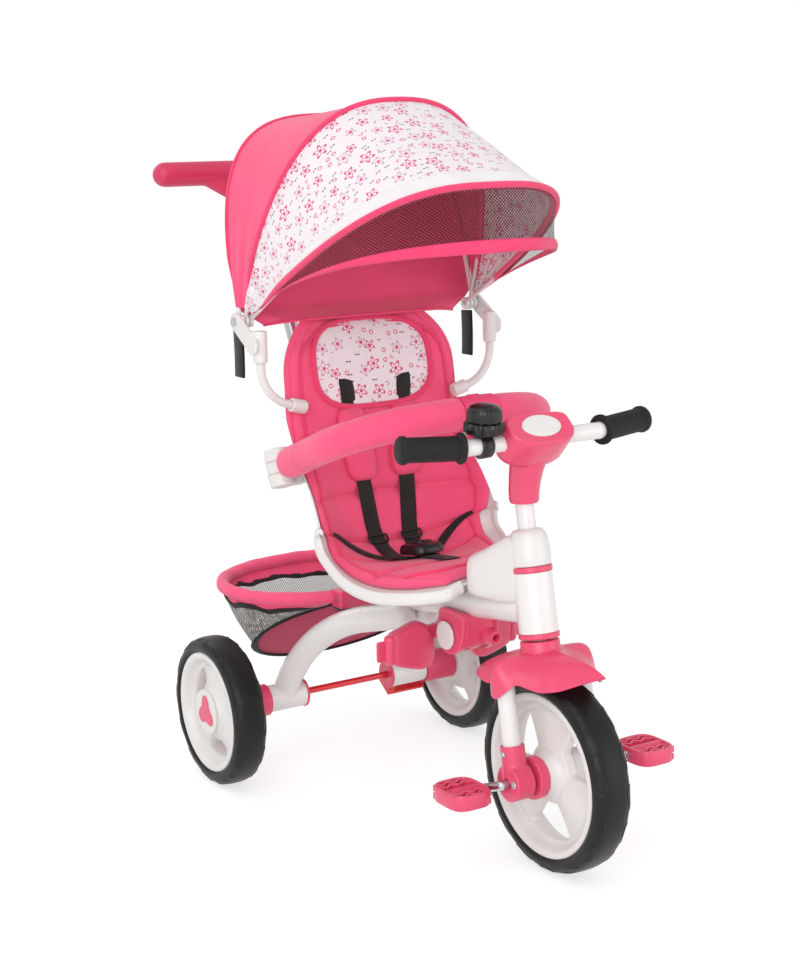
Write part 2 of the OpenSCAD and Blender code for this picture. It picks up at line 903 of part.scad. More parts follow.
// frame of the handlebar, and of one swept end with Z along it
module bar() {
    steer() translate([bar_x, 0, bar_s]) children();
}
module bar_tip() {
    translate([0, -bar_half, 0]) rotate([90 - bar_rise, 0, -bar_sweep]) children();
}
module handlebar() {
    color(white) bar() {
        rod_y(bar_r, -bar_half, bar_half);
        both_sides() {
            bar_tip() rod_z(bar_r, 0, bar_end);
            ball([0, -bar_half, 0], bar_r + weld_t);
        }
    }
}
module grips() {
    color(black) bar() both_sides() bar_tip() difference() {
        union() {
            rod_z(grip_r, 4 * over, bar_end + over);
            rod_z(flange_r, 4 * over, 4 * over + flange_w);
            rod_z(grip_r + over, bar_end - flange_w, bar_end + 2 * over);
        }
        rod_z(bar_r + fix_gap, 0, bar_end + fix_gap);
    }
}
// frame of the badge face, with Z out of it
module badge_face() {
    rotate([0, 90 - badge_a, 0]) children();
}
// upright oval of a length and height: two round ends and a middle
module oval(l, h, from, to) {
    for (s = [-1, 1]) translate([0, s * (l - h) / 2, 0]) rod_z(h / 2, from, to);
    block([-h / 2, -(l - h) / 2, from], [h / 2, (l - h) / 2, to]);
}
module handlebar_cover() {
    foot = [-bar_x, 0, stem_foot - bar_s];
    color(pink) bar() difference() {
        union() {
            rod_y(cover_r, -cover_half, cover_half);
            rod(foot, [0, 0, 0], stem_foot_r, stem_top_r);
            badge_face() oval(badge_l + 2 * badge_t, badge_h + 2 * badge_t, 0, badge_reach - badge_t);
        }
        rod_y(bar_r + fix_gap, -cover_half - over, cover_half + over);
        translate([-bar_x, 0, -bar_s])
            rod_z(steerer_r + fix_gap, stem_foot - 2 * steerer_r, steerer_top + fix_gap);
    }
}
module badge_plate() {
    color(white) bar() badge_face() oval(badge_l, badge_h, badge_reach - badge_t + fix_gap, badge_reach);
}

// bell

module bell_line() {
    bar() translate([0, -bell_y, 0]) rotate([0, bell_lean, 0]) children();
}
bell_top = bell_foot + bell_ring_h + move_gap;
module bell_body() {
    color(black) bell_line() {
        difference() {
            union() {
                rod_y(bell_clamp_r, -bell_clamp_w / 2, bell_clamp_w / 2);
                rod_z(bell_post_r, 0, bell_top + over);
            }
            rod_y(bar_r + fix_gap, -bell_clamp_w, bell_clamp_w);
        }
        translate([0, 0, bell_top]) difference() {
            sphere(bell_dome_r);
            rod_z(bell_dome_r + over, -bell_dome_r - over, 0);
        }
    }
}
module bell_ring() {
    color(black) bell_line() difference() {
        rod_z(bell_ring_r, bell_foot, bell_foot + bell_ring_h);
        rod_z(bell_post_r + run_fit, bell_foot - over, bell_foot + bell_ring_h + over);
        for (i = [1:bell_scallops]) rotate([0, 0, i * 360 / bell_scallops])
            translate([bell_ring_r + scallop_r / 2, 0, 0])
                rod_z(scallop_r, bell_foot - over, bell_foot + bell_ring_h + over);
    }
}

// frame

// rear leg, right side: a straight, then one arc down to the axle
module leg() {
    translate([leg_x, -leg_y, leg_z]) rotate([0, 0, atan2(leg_y - house_mid, -leg_x)]) {
        joint = leg_straight * [cos(leg_a), 0, -sin(leg_a)];
        sphere(leg_r + weld_t);
        rotate([0, 90 + leg_a, 0]) {
            cylinder(r = leg_r, h = leg_straight);
            rod_z(leg_r + weld_t, leg_straight - weld_l, leg_straight + weld_l);
        }
        translate(joint - leg_arc_r * [sin(leg_a), 0, cos(leg_a)])
            rotate([90, 0, 0]) rotate([0, 0, 90 - leg_b]) rotate_extrude(angle = leg_b - leg_a)
                translate([leg_arc_r, 0]) circle(leg_r);
    }
}
module frame() {
    color(white) difference() {
        union() {
            rod(spine_rear, spine_front, spine_r, spine_r);
            rod(spine_rear, tail_end, tail_r, tail_r);
            ball(spine_rear, spine_r);
            steer() rod_z(head_r, head_lo, head_hi);
            handle_line() rod_z(socket_r, -socket_half, socket_half);
        }
        steer() rod_z(head_bore, head_lo - over, head_hi + over);
        handle_line() rod_z(lower_r + fix_gap, -socket_half + tail_r, socket_half + over);
    }
}
// both legs with their axle housings, hollow for the brake, and a slot for its pedal on the left
module rear_legs() {
    slot_y = brake_arm_w / 2 + move_gap;
    slot_x = rod_r + move_gap + house_r * sin(brake_travel / 2);
    color(white) {
        both_sides() difference() {
            leg();
            rear_axle() rod_y(house_r + fix_gap, -house_out - leg_r, -house_in + leg_r);
        }
        rear_axle() difference() {
            both_sides() difference() {
                rod_y(house_r, -house_out, -house_in);
                rod_y(cavity_r, -wall_in, -house_in + over);
                rod_y(axle_r + fix_gap, -house_out - over, -wall_in + over);
                translate([0, 0, lock_ring_r]) rod_y(lock_r + run_fit, -house_out - over, -wall_in + over);
            }
            rotate([0, brake_a - brake_travel / 2, 0])
                block([-slot_x, brake_y - slot_y, -2 * house_r], [slot_x, brake_y + slot_y, 0]);
        }
    }
}
// axle pins with nuts, rail hinge pins, canopy pins and basket rivets
module frame_fasteners() {
    nut_in = rear_y + rear_hub_l / 2 - cap_t - move_gap;
    color(steel) both_sides() {
        rear_axle() {
            rod_y(axle_r, -nut_in, -wall_in - fix_gap);
            rod_y(nut_r, -nut_in, -nut_in + nut_t);
        }
        rail_plane() translate([0, -rail_half, 0]) rod_z(hinge_r, -barrel_half, barrel_half);
        translate([pivot_x, 0, pivot_z]) {
            rod_y(wire_r, -pivot_y - bow_step - plate_t, -visor_y + bow_eye_t);
            rod_y(2 * wire_r, -pivot_y - bow_step - plate_t, -pivot_y - bow_step - plate_t / 2);
        }
        basket_mount() rod_y(bow_eye_t, -over, over);
    }
}
// pink rings: caps at the inner ends of the axle housings, bushings at both ends of the head tube
module bearing_caps() {
    color(pink) {
        both_sides() rear_axle() difference() {
            union() {
                rod_y(axle_cap_r, -house_in + fix_gap, -house_in + axle_cap_t);
                rod_y(cavity_r - fix_gap, -house_in - axle_cap_t, -house_in + axle_cap_t);
            }
            rod_y(rod_r + run_fit, -house_in - axle_cap_t - over, -house_in + axle_cap_t + over);
        }
        steer() difference() {
            union() {
                rod_z(head_r + over, head_lo - bush_h, head_lo - fix_gap);
                rod_z(head_bore - fix_gap, head_lo - bush_h, head_lo + bush_l);
                rod_z(head_r + over, head_hi + fix_gap, head_hi + bush_h);
                rod_z(head_bore - fix_gap, head_hi - bush_l, head_hi + bush_h);
            }
            rod_z(steerer_r + run_fit, head_lo - bush_h - over, head_hi + bush_h + over);
        }
    }
}
// white nose over the front of the spine, with a collar round the steering tube
module neck_cover() {
    head_x = wheelbase - (nose_z - front_r) * tan(rake);
    back_x = head_x - nose_l;
    top_x = wheelbase - (nose_high - front_r) * tan(rake);
    gap = over + move_gap;
    color(white) difference() {
        union() {
            intersection() {
                translate([0, nose_half, 0]) rotate([90, 0, 0]) linear_extrude(2 * nose_half)
                    polygon([[back_x, nose_z], [head_x, nose_z], [top_x, nose_high],
                        [top_x - head_r, nose_high - over], [back_x, nose_low]]);
                linear_extrude(2 * nose_high)
                    polygon([[back_x, -nose_half], [head_x, -head_r], [head_x, head_r], [back_x, nose_half]]);
            }
            steer() translate([0, 0, head_hi + bush_h + move_gap])
                cylinder(r1 = head_r, r2 = neck_r, h = neck_top - head_hi - bush_h - move_gap);
        }
        rod(spine_rear, spine_front, spine_r + fix_gap, spine_r + fix_gap);
        steer() {
            rod_z(head_r + gap, 0, head_hi + bush_h + move_gap);
            rod_z(steerer_r + move_gap, head_lo, neck_top + over);
        }
    }
}

// seat

// heading, place and sitter-side normal at a distance along the seat line
function heading(d) = d < pan_l ? head_pan : max(head_back, head_pan - (d - pan_l) / corner_r * 180 / PI);
function seat_n(d) = [sin(heading(d)), 0, -cos(heading(d))];
corner_mid = [seat_x + pan_l * cos(head_pan), 0, seat_z + pan_l * sin(head_pan)] + corner_r * seat_n(0);
function seat_c(d) = d < pan_l
    ? [seat_x + d * cos(head_pan), 0, seat_z + d * sin(head_pan)]
    : corner_mid - corner_r * seat_n(d)
        + max(0, d - pan_l - corner_l) * [cos(head_back), 0, sin(head_back)];
function seat_half_at(f) = seat_half * curve(half_shares, f)
    * sqrt(1 - tip_cut_share * pow(max(0, f - tip_share) / (1 - tip_share), 2));
// point at a share along the seat, a share across it and a height above the shell
function seat_pt(f, t, h) = seat_c(f * seat_l) + [0, t * seat_half_at(f), 0]
    + seat_n(f * seat_l) * (wing_h * curve(wing_shares, f) * pow(abs(t), wing_power) + h);
// frame on the seat with X up along it, Y to the left and Z to the sitter
module on_seat(f, h) {
    d = f * seat_l;
    translate(seat_c(d) + h * seat_n(d)) rotate([0, 180 - heading(d), 0]) mirror([1, 0, 0])
        children();
}
module seat_shell() {
    rows = [for (i = [0:30]) i / 30];
    cols = [for (j = [-8:8]) j / 8];
    color(white) between([for (f = rows) [for (t = cols) seat_pt(f, t, -shell_t)]],
        [for (f = rows) [for (t = cols) seat_pt(f, t, 0)]]);
}
// height of the cushion: crowned, drawn in at its sides and sewn down along the channels
function drawn_in(v) = sqrt(max(0, 1 - pow(abs(v), crown_power)));
function crown_h(s, t) = soft_gap + pad_edge
    + (pad_t - pad_edge) * drawn_in(t / pad_share) * drawn_in(2 * s - 1);
function cushion_h(s, t) = let (n = round(s * fields), x = s * fields - n, on = n > 0 && n < fields)
    crown_h(s, t) - (on ? channel_d * exp(-pow(x * channel_power, 2)) * drawn_in(t / pad_share) : 0);
// height of a strap that lies on the cushion
function strap_h(f, t) = crown_h((f - pad_lo_share) / pad_run_share, t) + 2 * soft_gap;
module seat_cushion() {
    runs = [for (k = [0:fields - 1], s = field_shares) (k + s) / fields, 1];
    cols = [for (j = [-5:5]) pad_share * sin(90 * j / 5)];
    function pt(s, t, h) = seat_pt(pad_lo_share + pad_run_share * s, t, h);
    color(cloth_pink) between([for (s = runs) [for (t = cols) pt(s, t, pad_gap)]],
        [for (s = runs) [for (t = cols) pt(s, t, cushion_h(s, t))]]);
}
// pads under the pan, hinge barrels for the rail and sockets for the canopy posts
module seat_brackets() {
    web = barrel_r / 2;
    color(white) {
        for (f = foot_shares) intersection() {
            on_seat(f, -shell_t - fix_gap) block([-barrel_r, -spine_r, -spine_r], [barrel_r, spine_r, 0]);
            difference() {
                rod(spine_rear, spine_front, 2 * spine_r, 2 * spine_r);
                rod(spine_rear, spine_front, spine_r + fix_gap, spine_r + fix_gap);
            }
        }
        both_sides() {
            rail_plane() translate([0, -rail_half, 0]) difference() {
                union() {
                    rod_z(barrel_r, -barrel_half, barrel_half);
                    block([-web, 0, -barrel_half], [web, barrel_r + shell_t, barrel_half]);
                }
                rod_z(barrel_r + shell_t, -eye_half - move_gap / 2, eye_half + move_gap / 2);
                rod_z(hinge_r + fix_gap, -barrel_half - over, barrel_half + over);
            }
            rail_plane() translate([0, -rail_half, 0])
                block([-web, barrel_r + shell_t, -barrel_half], [web, barrel_r + 3 * shell_t, barrel_half]);
            difference() {
                union() {
                    post_end() rod_z(sleeve_r, -post_foot, sleeve_r);
                    translate(post_tip) block([-3 * sleeve_r, -shell_t, -post_r], [0, shell_t, post_r]);
                }
                post_end() rod_z(post_r + fix_gap, -fix_gap, sleeve_r + over);
            }
        }
    }
}

// harness

// ribbon on the seat between two lists of [share along, share across, height]
module ribbon(left, right) {
    n = len(left) - 1;
    function at(p, h) = seat_pt(p[0], p[1], p[2] + h);
    between([for (i = [0:n]) [at(left[i], 0), at(right[i], 0)]],
        [for (i = [0:n]) [at(left[i], strap_t), at(right[i], strap_t)]]);
}
// the three kinds of strap from end to end, with half the width to one side
strap_share = strap_w / seat_half / 2;
lap_share = strap_w / seat_l / 2;
function along(a, b, s) = a + (b - a) * s;
function shoulder_at(s, side) = let (f = along(slot_share, buckle_share, s),
    t = along(-shoulder_share, -buckle_side_share, s))
    [f, side + t, strap_h(f, t)];
function lap_at(s, side) = let (f = along(hip_share, lap_end_share, s),
    t = along(-hip_side_share, -lap_side_share, s))
    [side + f, t, strap_h(f, t) + s * (strap_t + soft_gap)];
function crotch_at(s, side) = let (f = along(crotch_share, crotch_end_share, s))
    [f, side, strap_h(f, 0) - soft_gap];
module harness_straps() {
    steps = [for (i = [0:24]) i / 24];
    color(black) {
        both_sides() {
            ribbon([for (s = steps) shoulder_at(s, strap_share)],
                [for (s = steps) shoulder_at(s, -strap_share)]);
            ribbon([for (s = steps) lap_at(s, lap_share)], [for (s = steps) lap_at(s, -lap_share)]);
        }
        ribbon([for (s = steps) crotch_at(s, -strap_share)], [for (s = steps) crotch_at(s, strap_share)]);
    }
}
module shoulder_pads() {
    rows = [for (i = [0:8]) i / 8];
    cols = [for (j = [-4:4]) j / 4];
    half = pad_half / seat_half;
    function row(s, t, h) = let (f = along(pad_foot_share, pad_top_share, s),
        mid = shoulder_at((slot_share - f) / (slot_share - buckle_share), 0)[1])
        seat_pt(f, mid + half * t, strap_h(f, mid) + strap_t + soft_gap + h);
    function pad_h(s, t) = shoulder_t * (edge_share + (1 - edge_share) * drawn_in(t) * drawn_in(2 * s - 1));
    color(cloth_pink) both_sides()
        between([for (s = rows) [for (t = cols) row(s, t, 0)]],
            [for (s = rows) [for (t = cols) row(s, t, pad_h(s, t))]]);
}
buckle_up = strap_top + strap_t + 2 * soft_gap;
module buckle_body() {
    color(black) on_seat(buckle_share, buckle_up) difference() {
        block([-buckle_l / 2, -buckle_w / 2, 0], [buckle_l / 2, buckle_w / 2, buckle_t]);
        rod_z(button_r + move_gap, buckle_t - button_deep, buckle_t + over);
    }
}
module buckle_button() {
    color(black) on_seat(buckle_share, buckle_up)
        rod_z(button_r, buckle_t - button_deep + button_out + move_gap, buckle_t + button_out);
}

// guard rail

// core and foam of the right half, in the rail plane
module rail_run(r, from) {
    translate([0, -rail_half, 0]) rod_x(r, from, rail_arm);
    translate([rail_arm, -arc_y, 0]) rotate([0, 0, -90]) rotate_extrude(angle = 90)
        translate([rail_r, 0]) circle(r);
}
module rail_half_right(tip) {
    difference() {
        rail_run(foam_r, barrel_r + 3 * shell_t);
        rail_run(core_r + fix_gap, 0);
        translate([rail_front, 0, 0]) rod_y(clip_r + over, -clip_half - move_gap, clip_half);
    }
    difference() {
        union() {
            rail_run(core_r, eye_half);
            translate([rail_front, 0, 0]) rod_y(core_r, -arc_y, -tip);
            translate([0, -rail_half, 0]) rod_z(barrel_r - over, -eye_half, eye_half);
        }
        translate([0, -rail_half, 0]) rod_z(hinge_r + run_fit, -eye_half - over, eye_half + over);
    }
}
module guard_rail_right() {
    color(cloth_pink) rail_plane() rail_half_right(clip_half / 2);
}
module guard_rail_left() {
    color(cloth_pink) rail_plane() mirror([0, 1, 0]) rail_half_right(clip_half / 2);
}
clip_pocket = clip_r - button_deep;
module guard_clip() {
    color(pink) rail_plane() translate([rail_front, 0, 0]) difference() {
        rod_y(clip_r, -clip_half, clip_half);
        rod_y(core_r + fix_gap, clip_half / 2 - fix_gap, clip_half + over);
        rod_y(core_r + move_gap, -clip_half - over, -clip_half / 2 + move_gap);
        block([-clip_button_w / 2 - move_gap, -clip_button_l / 2 - move_gap, clip_pocket],
            [clip_button_w / 2 + move_gap, clip_button_l / 2 + move_gap, clip_r + over]);
    }
}
module guard_button() {
    color(pink) rail_plane() translate([rail_front, 0, 0])
        block([-clip_button_w / 2, -clip_button_l / 2, clip_pocket + button_out + move_gap],
            [clip_button_w / 2, clip_button_l / 2, clip_r + over]);
}

// canopy

// end plane of each bow, rear to visor edge
function bow_y(k) = pivot_y - min(k, 2) * bow_step;
// point of a bow between two bows: k whole for a bow, a fraction for the cloth between
function mix(v, k) = let (i = min(floor(k), len(v) - 2)) v[i] + (v[i + 1] - v[i]) * (k - i);
function bow_pt(k, a, out) = let (w = mix([for (i = [0:3]) bow_y(i)], k) + out,
    u = (mix(bow_h, k) + out) * round_to(mix(bow_n, k), sin(a)), b = mix(bow_a, k))
    [pivot_x + u * cos(b), -w * round_to(mix(bow_n, k), cos(a)), pivot_z + u * sin(b)];
// angle at which a bow is a given reach from the pivot, and the angles from there to its other end
bow_steps = 32;
function start_at(k, reach) = asin(pow(reach / mix(bow_h, k), mix(bow_n, k) / 2));
function bow_arc(k, reach, i) = start_at(k, reach) + (180 - 2 * start_at(k, reach)) * i / bow_steps;
// cloth at a place between two bows: mostly taut, with a little fullness
function cloth_pt(k, i, reach, out) = let (b = floor(k), x = k - b,
    from = bow_pt(b, bow_arc(b, reach, i), out), to = bow_pt(b + 1, bow_arc(b + 1, reach, i), out),
    taut = (1 - x) * from + x * to)
    taut + full_share * (bow_pt(k, bow_arc(k, reach, i), out) - taut);
module bow_eyes(k) {
    both_sides() translate([pivot_x, 0, pivot_z]) difference() {
        rod_y(bow_eye_r, -bow_y(k) - bow_eye_t / 2, -bow_y(k) + bow_eye_t / 2);
        rod_y(wire_r + run_fit, -bow_y(k) - bow_eye_t, -bow_y(k) + bow_eye_t);
    }
}
// a bow whose wire starts at the edge of its two eyes
module eyed_bow(k) {
    reach = bow_eye_r - over;
    path = [for (i = [0:bow_steps]) bow_pt(k, bow_arc(k, reach, i), 0)];
    skin(tube(path, wire_r, [sin(bow_a[k]), 0, -cos(bow_a[k])], 10));
    bow_eyes(k);
}
// cloth from one bow to the next, over the wires
module panel(from, to) {
    cols = [for (j = [0:5]) to + (from - to) * j / 5];
    rows = [0:bow_steps];
    between([for (i = rows) [for (k = cols) cloth_pt(k, i, cloth_low, cloth_in + cloth_t)]],
        [for (i = rows) [for (k = cols) cloth_pt(k, i, cloth_low, cloth_in)]]);
}
module canopy_rear_bow() {
    color(white) eyed_bow(0);
}
module canopy_mid_bow() {
    color(white) eyed_bow(1);
}
module canopy_front_bow() {
    color(white) eyed_bow(2);
}
module canopy_top_panel() {
    color(cloth_pink) panel(seam_share / 2, 1 - seam_share);
}
module canopy_front_panel() {
    color(print_pale) panel(1, 2 - seam_share);
}
module canopy_visor() {
    reach = visor_share * bow_h[2];
    cols = [for (j = [0:5]) 1 - j / 5];
    rows = [0:bow_steps];
    function pt(i, v, out) = let (x = seam_share / 2 + (1 - seam_share) * v * sqrt(sin(180 * i / bow_steps)))
        cloth_pt(2 + x, i, reach, out);
    color(net_grey) between([for (i = rows) [for (v = cols) pt(i, v, cloth_in + cloth_t)]],
        [for (i = rows) [for (v = cols) pt(i, v, cloth_in)]]);
}
// cloth that closes the rear bow, from its hem up to just behind the bow
module canopy_back_panel() {
    lean = [cos(bow_a[0]), 0, sin(bow_a[0])];
    out = [-lean.z, 0, lean.x];
    rows = [for (i = [0:16]) hem_share + (1 - hem_share) * i / 16];
    cols = [for (j = [-8:8]) j / 8];
    function pt(v, t, h) = let (w = pivot_y * pow(max(0, 1 - pow(v * inside_share, bow_n[0])), 1 / bow_n[0]))
        [pivot_x, t * (w - over), pivot_z] + v * (bow_h[0] - wire_r) * lean
            + (cloth_in + 3 * wire_r * (1 - t * t) * sin(180 * v) + h) * out;
    color(cloth_pink) between([for (v = rows) [for (t = cols) pt(v, t, cloth_t)]],
        [for (v = rows) [for (t = cols) pt(v, t, 0)]]);
}
// webbing loops that hang from the rear corners
module canopy_straps() {
    y = pivot_y - bow_step / 2;
    color(black) both_sides() block([pivot_x - tail_w, -y - strap_t, pivot_z - tail_l],
        [pivot_x, -y, pivot_z - bow_eye_r - soft_gap]);
}
// frame at the inner end of the right post, with Z out along it
post_tip = [post_x, -post_y + post_bend, post_z] + post_bend * [0, -cos(post_a), -sin(post_a)]
    + post_foot * [0, sin(post_a), -cos(post_a)];
module post_end() {
    translate(post_tip) rotate([post_a, 0, 0]) children();
}
module canopy_posts() {
    plate_y = -pivot_y - bow_step;
    low_z = sleeve_hi - low_share * plate_half;
    arm = [pivot_x - post_x, pivot_z - low_z];
    color(white) both_sides() {
        translate([post_x, -post_y, 0]) rod_z(post_r, post_z, sleeve_hi - over);
        translate([post_x, -post_y, 0]) rod_z(post_r + weld_t, post_z - weld_l, post_z + weld_l);
        post_end() rod_z(post_r + weld_t, post_foot - weld_l, post_foot + weld_l);
        translate([post_x, -post_y + post_bend, post_z]) rotate([90, 0, -90])
            rotate([0, 0, -post_a]) rotate_extrude(angle = post_a) translate([post_bend, 0]) circle(post_r);
        post_end() rod_z(post_r, 0, post_foot);
        difference() {
            union() {
                translate([post_x, -post_y, 0]) rod_z(sleeve_r, sleeve_lo, sleeve_hi);
                translate([0, plate_y + plate_t / 2, 0]) rotate([90, 0, 0]) linear_extrude(plate_t) {
                    translate([pivot_x, pivot_z]) circle(plate_half);
                    translate([post_x, low_z]) circle(plate_half);
                    translate([post_x, low_z]) rotate(atan2(arm[1], arm[0]))
                        translate([0, -plate_half]) square([norm(arm), 2 * plate_half]);
                }
            }
            translate([post_x, -post_y, 0]) rod_z(post_r + fix_gap, 0, sleeve_hi - over + fix_gap);
            translate([pivot_x, plate_y, pivot_z]) rod_y(wire_r + run_fit, -plate_t, plate_t);
        }
    }
}

// push handle

module handle_lower_tube() {
    color(white) handle_line() difference() {
        union() {
            rod_z(lower_r, -socket_half + tail_r + fix_gap, lower_top);
            rod_z(socket_r, lower_top - lock_half, lower_top + lock_half);
        }
        rod_z(upper_r + run_fit, -socket_half, lower_top + lock_half + over);
    }
}
module handle_upper_tube() {
    wall = upper_r - 2 * over;
    color(steel) handle_line() difference() {
        rod_z(upper_r, upper_foot, hand_s - hand_r);
        rod_z(wall, upper_foot - over, hand_s - hand_r + over);
    }
}
module handle_grip() {
    from = hand_s - hand_stem_l;
    color(crimson) handle_line() difference() {
        union() {
            translate([0, 0, hand_s]) rod_y(hand_r, -hand_half, hand_half);
            rod_z(hand_stem_r, from, hand_s);
            both_sides() {
                ball([0, -hand_half, hand_s], hand_r);
                rod([0, 0, from + strut_r], [0, -strut_y, hand_s], strut_r, strut_r);
            }
        }
        rod_z(upper_r + fix_gap, from - over, hand_s - hand_r + fix_gap);
    }
}

// basket

function rim_pt(a, half, long, back, z) =
    [-back + long * round_to(rim_n, cos(a)), half * round_to(rim_n, sin(a)), z];
// frame at the right end of the rim
rim_tip = rim_pt(-rim_gap_a, rim_half, rim_l, rim_back, rim_z);
module basket_mount() {
    translate([rim_tip.x + rim_r + bow_eye_t + over, rim_tip.y - rim_r, rim_z]) children();
}
module basket_rim() {
    turns = [for (i = [0:56]) rim_gap_a + (360 - 2 * rim_gap_a) * i / 56];
    path = [for (a = turns) rim_pt(a, rim_half, rim_l, rim_back, rim_z)];
    color(cloth_pink) skin(tube(path, rim_r, [0, 0, 1], 12));
}
module basket_net() {
    turns = [for (i = [0:47]) i * 360 / 48];
    drop = rim_r + soft_gap;
    function front(p, in) = min(p.x, handle_x - 2 * tail_r - in + p.y * p.y / (3 * socket_r));
    function low(in, up) = [for (a = turns)
        let (p = rim_pt(a, floor_half - in, floor_l - in, floor_back, 0), x = front(p, in))
        [x, p.y, floor_z + floor_slope_share * (x + floor_back) + up]];
    function high(in) = [for (a = turns)
        let (p = rim_pt(a, rim_half - in, rim_l - in, rim_back, rim_z - drop))
        [front(p, in), p.y, p.z]];
    color(net_grey) skin([low(0, 0), high(0), high(bag_t), low(bag_t, 2 * bag_t)]);
}
// plates from the tail tube to the ends of the rim
module basket_brackets() {
    x = rim_tip.x;
    color(pink) both_sides() difference() {
        union() {
            block([x, rim_tip.y - rim_r, rim_z - basket_plate_h / 2],
                [x + basket_plate_l, rim_tip.y + rim_r, rim_z + basket_plate_h / 2]);
            block([x + basket_plate_l / 2, rim_tip.y, rim_z - basket_plate_h / 2],
                [x + basket_plate_l, 0, rim_z + basket_plate_h / 2]);
        }
        rod(spine_rear, tail_end, tail_r + fix_gap, tail_r + fix_gap);
        basket_mount() rod_y(bow_eye_t + fix_gap, -2 * over, over + fix_gap);
    }
}

// footrest

module rest_axis() {
    translate([rest_x, 0, rest_z]) children();
}
module footrest_bracket() {
    slot_in = arm_in - move_gap / 2;
    slot_out = arm_in + arm_w + move_gap / 2;
    color(pink) difference() {
        rest_axis() {
            rod_y(rest_r, -rest_half, rest_half);
            block([0, -rest_half, -rest_r], [rest_l, rest_half, 2 * rest_r]);
            translate([0, rest_half / 2, 0]) rod_x(boss_r, rest_l, rest_l + boss_l);
        }
        rod(spine_rear, spine_front, spine_r + fix_gap, spine_r + fix_gap);
        block([0, -2 * rest_half, spine_z + spine_r], [2 * rest_x, 2 * rest_half, 2 * spine_z]);
        rest_axis() {
            both_sides() block([-2 * rest_r, -slot_out, -2 * rest_r],
                [rest_l - boss_l, -slot_in, arm_eye_r + over]);
            rod_y(hinge_r + fix_gap, -rest_half - over, rest_half + over);
            translate([0, rest_half / 2, 0])
                rod_x(boss_hole, rest_l - boss_l / 2, rest_l + boss_l + over);
        }
    }
}
module footrest_pin() {
    color(white) rest_axis() {
        rod_y(hinge_r, -rest_half - fix_gap, rest_half + fix_gap);
        both_sides() rod_y(pin_cap_r, -rest_half - pin_cap_t, -rest_half - fix_gap);
    }
}
// foot plate with its arm, right side, folded away
module footrest() {
    z0 = foot_up - foot_h;
    y0 = -foot_y;
    in = foot_round;
    difference() {
        union() {
            rod_y(arm_eye_r, -arm_in - arm_w, -arm_in);
            block([-plate_back - over, -arm_in - arm_w, -arm_eye_r], [0, -arm_in, arm_eye_r - foot_up / 2]);
            translate([-plate_back - foot_t, 0, 0]) {
                block([0, y0 + in, z0], [foot_t, -arm_in, foot_up]);
                block([0, y0, z0 + in], [foot_t, -arm_in, foot_up - in]);
                for (z = [z0 + in, foot_up - in]) translate([0, y0 + in, z]) rod_x(in, 0, foot_t);
            }
        }
        rod_y(hinge_r + run_fit, -foot_y, 0);
    }
}
module footrest_right() {
    color(pink) rest_axis() footrest();
}
module footrest_left() {
    color(pink) rest_axis() mirror([0, 1, 0]) footrest();
}

// brake

cam_in = house_out - over - lock_l - cam_t - move_gap;
module brake_rod() {
    color(red) rear_axle() {
        rod_y(rod_r, -cam_in - cam_t, cam_in + cam_t);
        both_sides() rod_y(cam_r, -cam_in - cam_t, -cam_in);
    }
}
module brake_pedal() {
    w = brake_arm_w / 2;
    color(red) rear_axle() difference() {
        union() {
            rod_y(2 * rod_r, brake_y - w, brake_y + w);
            rotate([0, brake_a, 0]) {
                block([-rod_r, brake_y - w, -brake_arm_l], [rod_r, brake_y + w, 0]);
                block([-tread_l, brake_y - w, -brake_arm_l - tread_t],
                    [rod_r, brake_y - w + tread_w, -brake_arm_l]);
            }
        }
        rod_y(rod_r + fix_gap, brake_y - 2 * w, brake_y + 2 * w);
    }
}
module lock_pin() {
    color(steel) rear_axle() translate([0, 0, lock_ring_r])
        rod_y(lock_r, -house_out + over, -house_out + over + lock_l);
}

// drawing

place() frame();
place() rear_legs();
place() frame_fasteners();
place() bearing_caps();
place() seat_shell();
place() seat_brackets();
place() seat_cushion();
place() harness_straps();
place() shoulder_pads();
place() buckle_body();
place() buckle_button();
place() neck_cover();
place() canopy_posts();
place() canopy_rear_bow();
place() canopy_top_panel();
place() canopy_back_panel();
place() canopy_straps();
place() canopy_mid_bow();
place() canopy_front_panel();
place() canopy_front_bow();
place() canopy_visor();
place() handle_lower_tube();
place() handle_upper_tube();
place() handle_grip();
place() basket_rim();
place() basket_net();
place() basket_brackets();
place() footrest_bracket();
place() footrest_pin();
place() footrest_right();
place() footrest_left();
place() fork();
place() fork_ends();
place() mudguard();
place() handlebar();
place() handlebar_cover();
place() badge_plate();
place() grips();
place() bell_body();
place() bell_ring();
place() front_rim();
place() front_tyre();
place() clutch_ring();
place() crank();
place() pedal_right();
place() pedal_left();
place() rear_rim();  // rear_rim_right
place() rear_tyre();  // rear_tyre_right
place() brake_drum();  // brake_drum_right
place() mirror([0, 1, 0]) rear_rim();  // rear_rim_left
place() mirror([0, 1, 0]) rear_tyre();  // rear_tyre_left
place() mirror([0, 1, 0]) brake_drum();  // brake_drum_left
place() brake_rod();
place() brake_pedal();
place() lock_pin();  // lock_pin_right
place() mirror([0, 1, 0]) lock_pin();  // lock_pin_left
place() guard_rail_right();
place() guard_rail_left();
place() guard_clip();
place() guard_button();
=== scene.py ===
# %% [markdown]
# A toddler's push along trike
#
# This lesson dresses the bare solids of a small trike: a seat with a padded cover, a foam guard rail, a
# folding canopy, a net basket and moulded plastic all round. The solids come from the imported frame, already
# in place and already jointed, so nothing here moves them. We only give them finishes, or stand better
# looking pieces in their place. The first cell opens that frame.

# %% Open the imported frame
import json
import math
import bpy
import numpy as np
from mathutils import Matrix, Vector

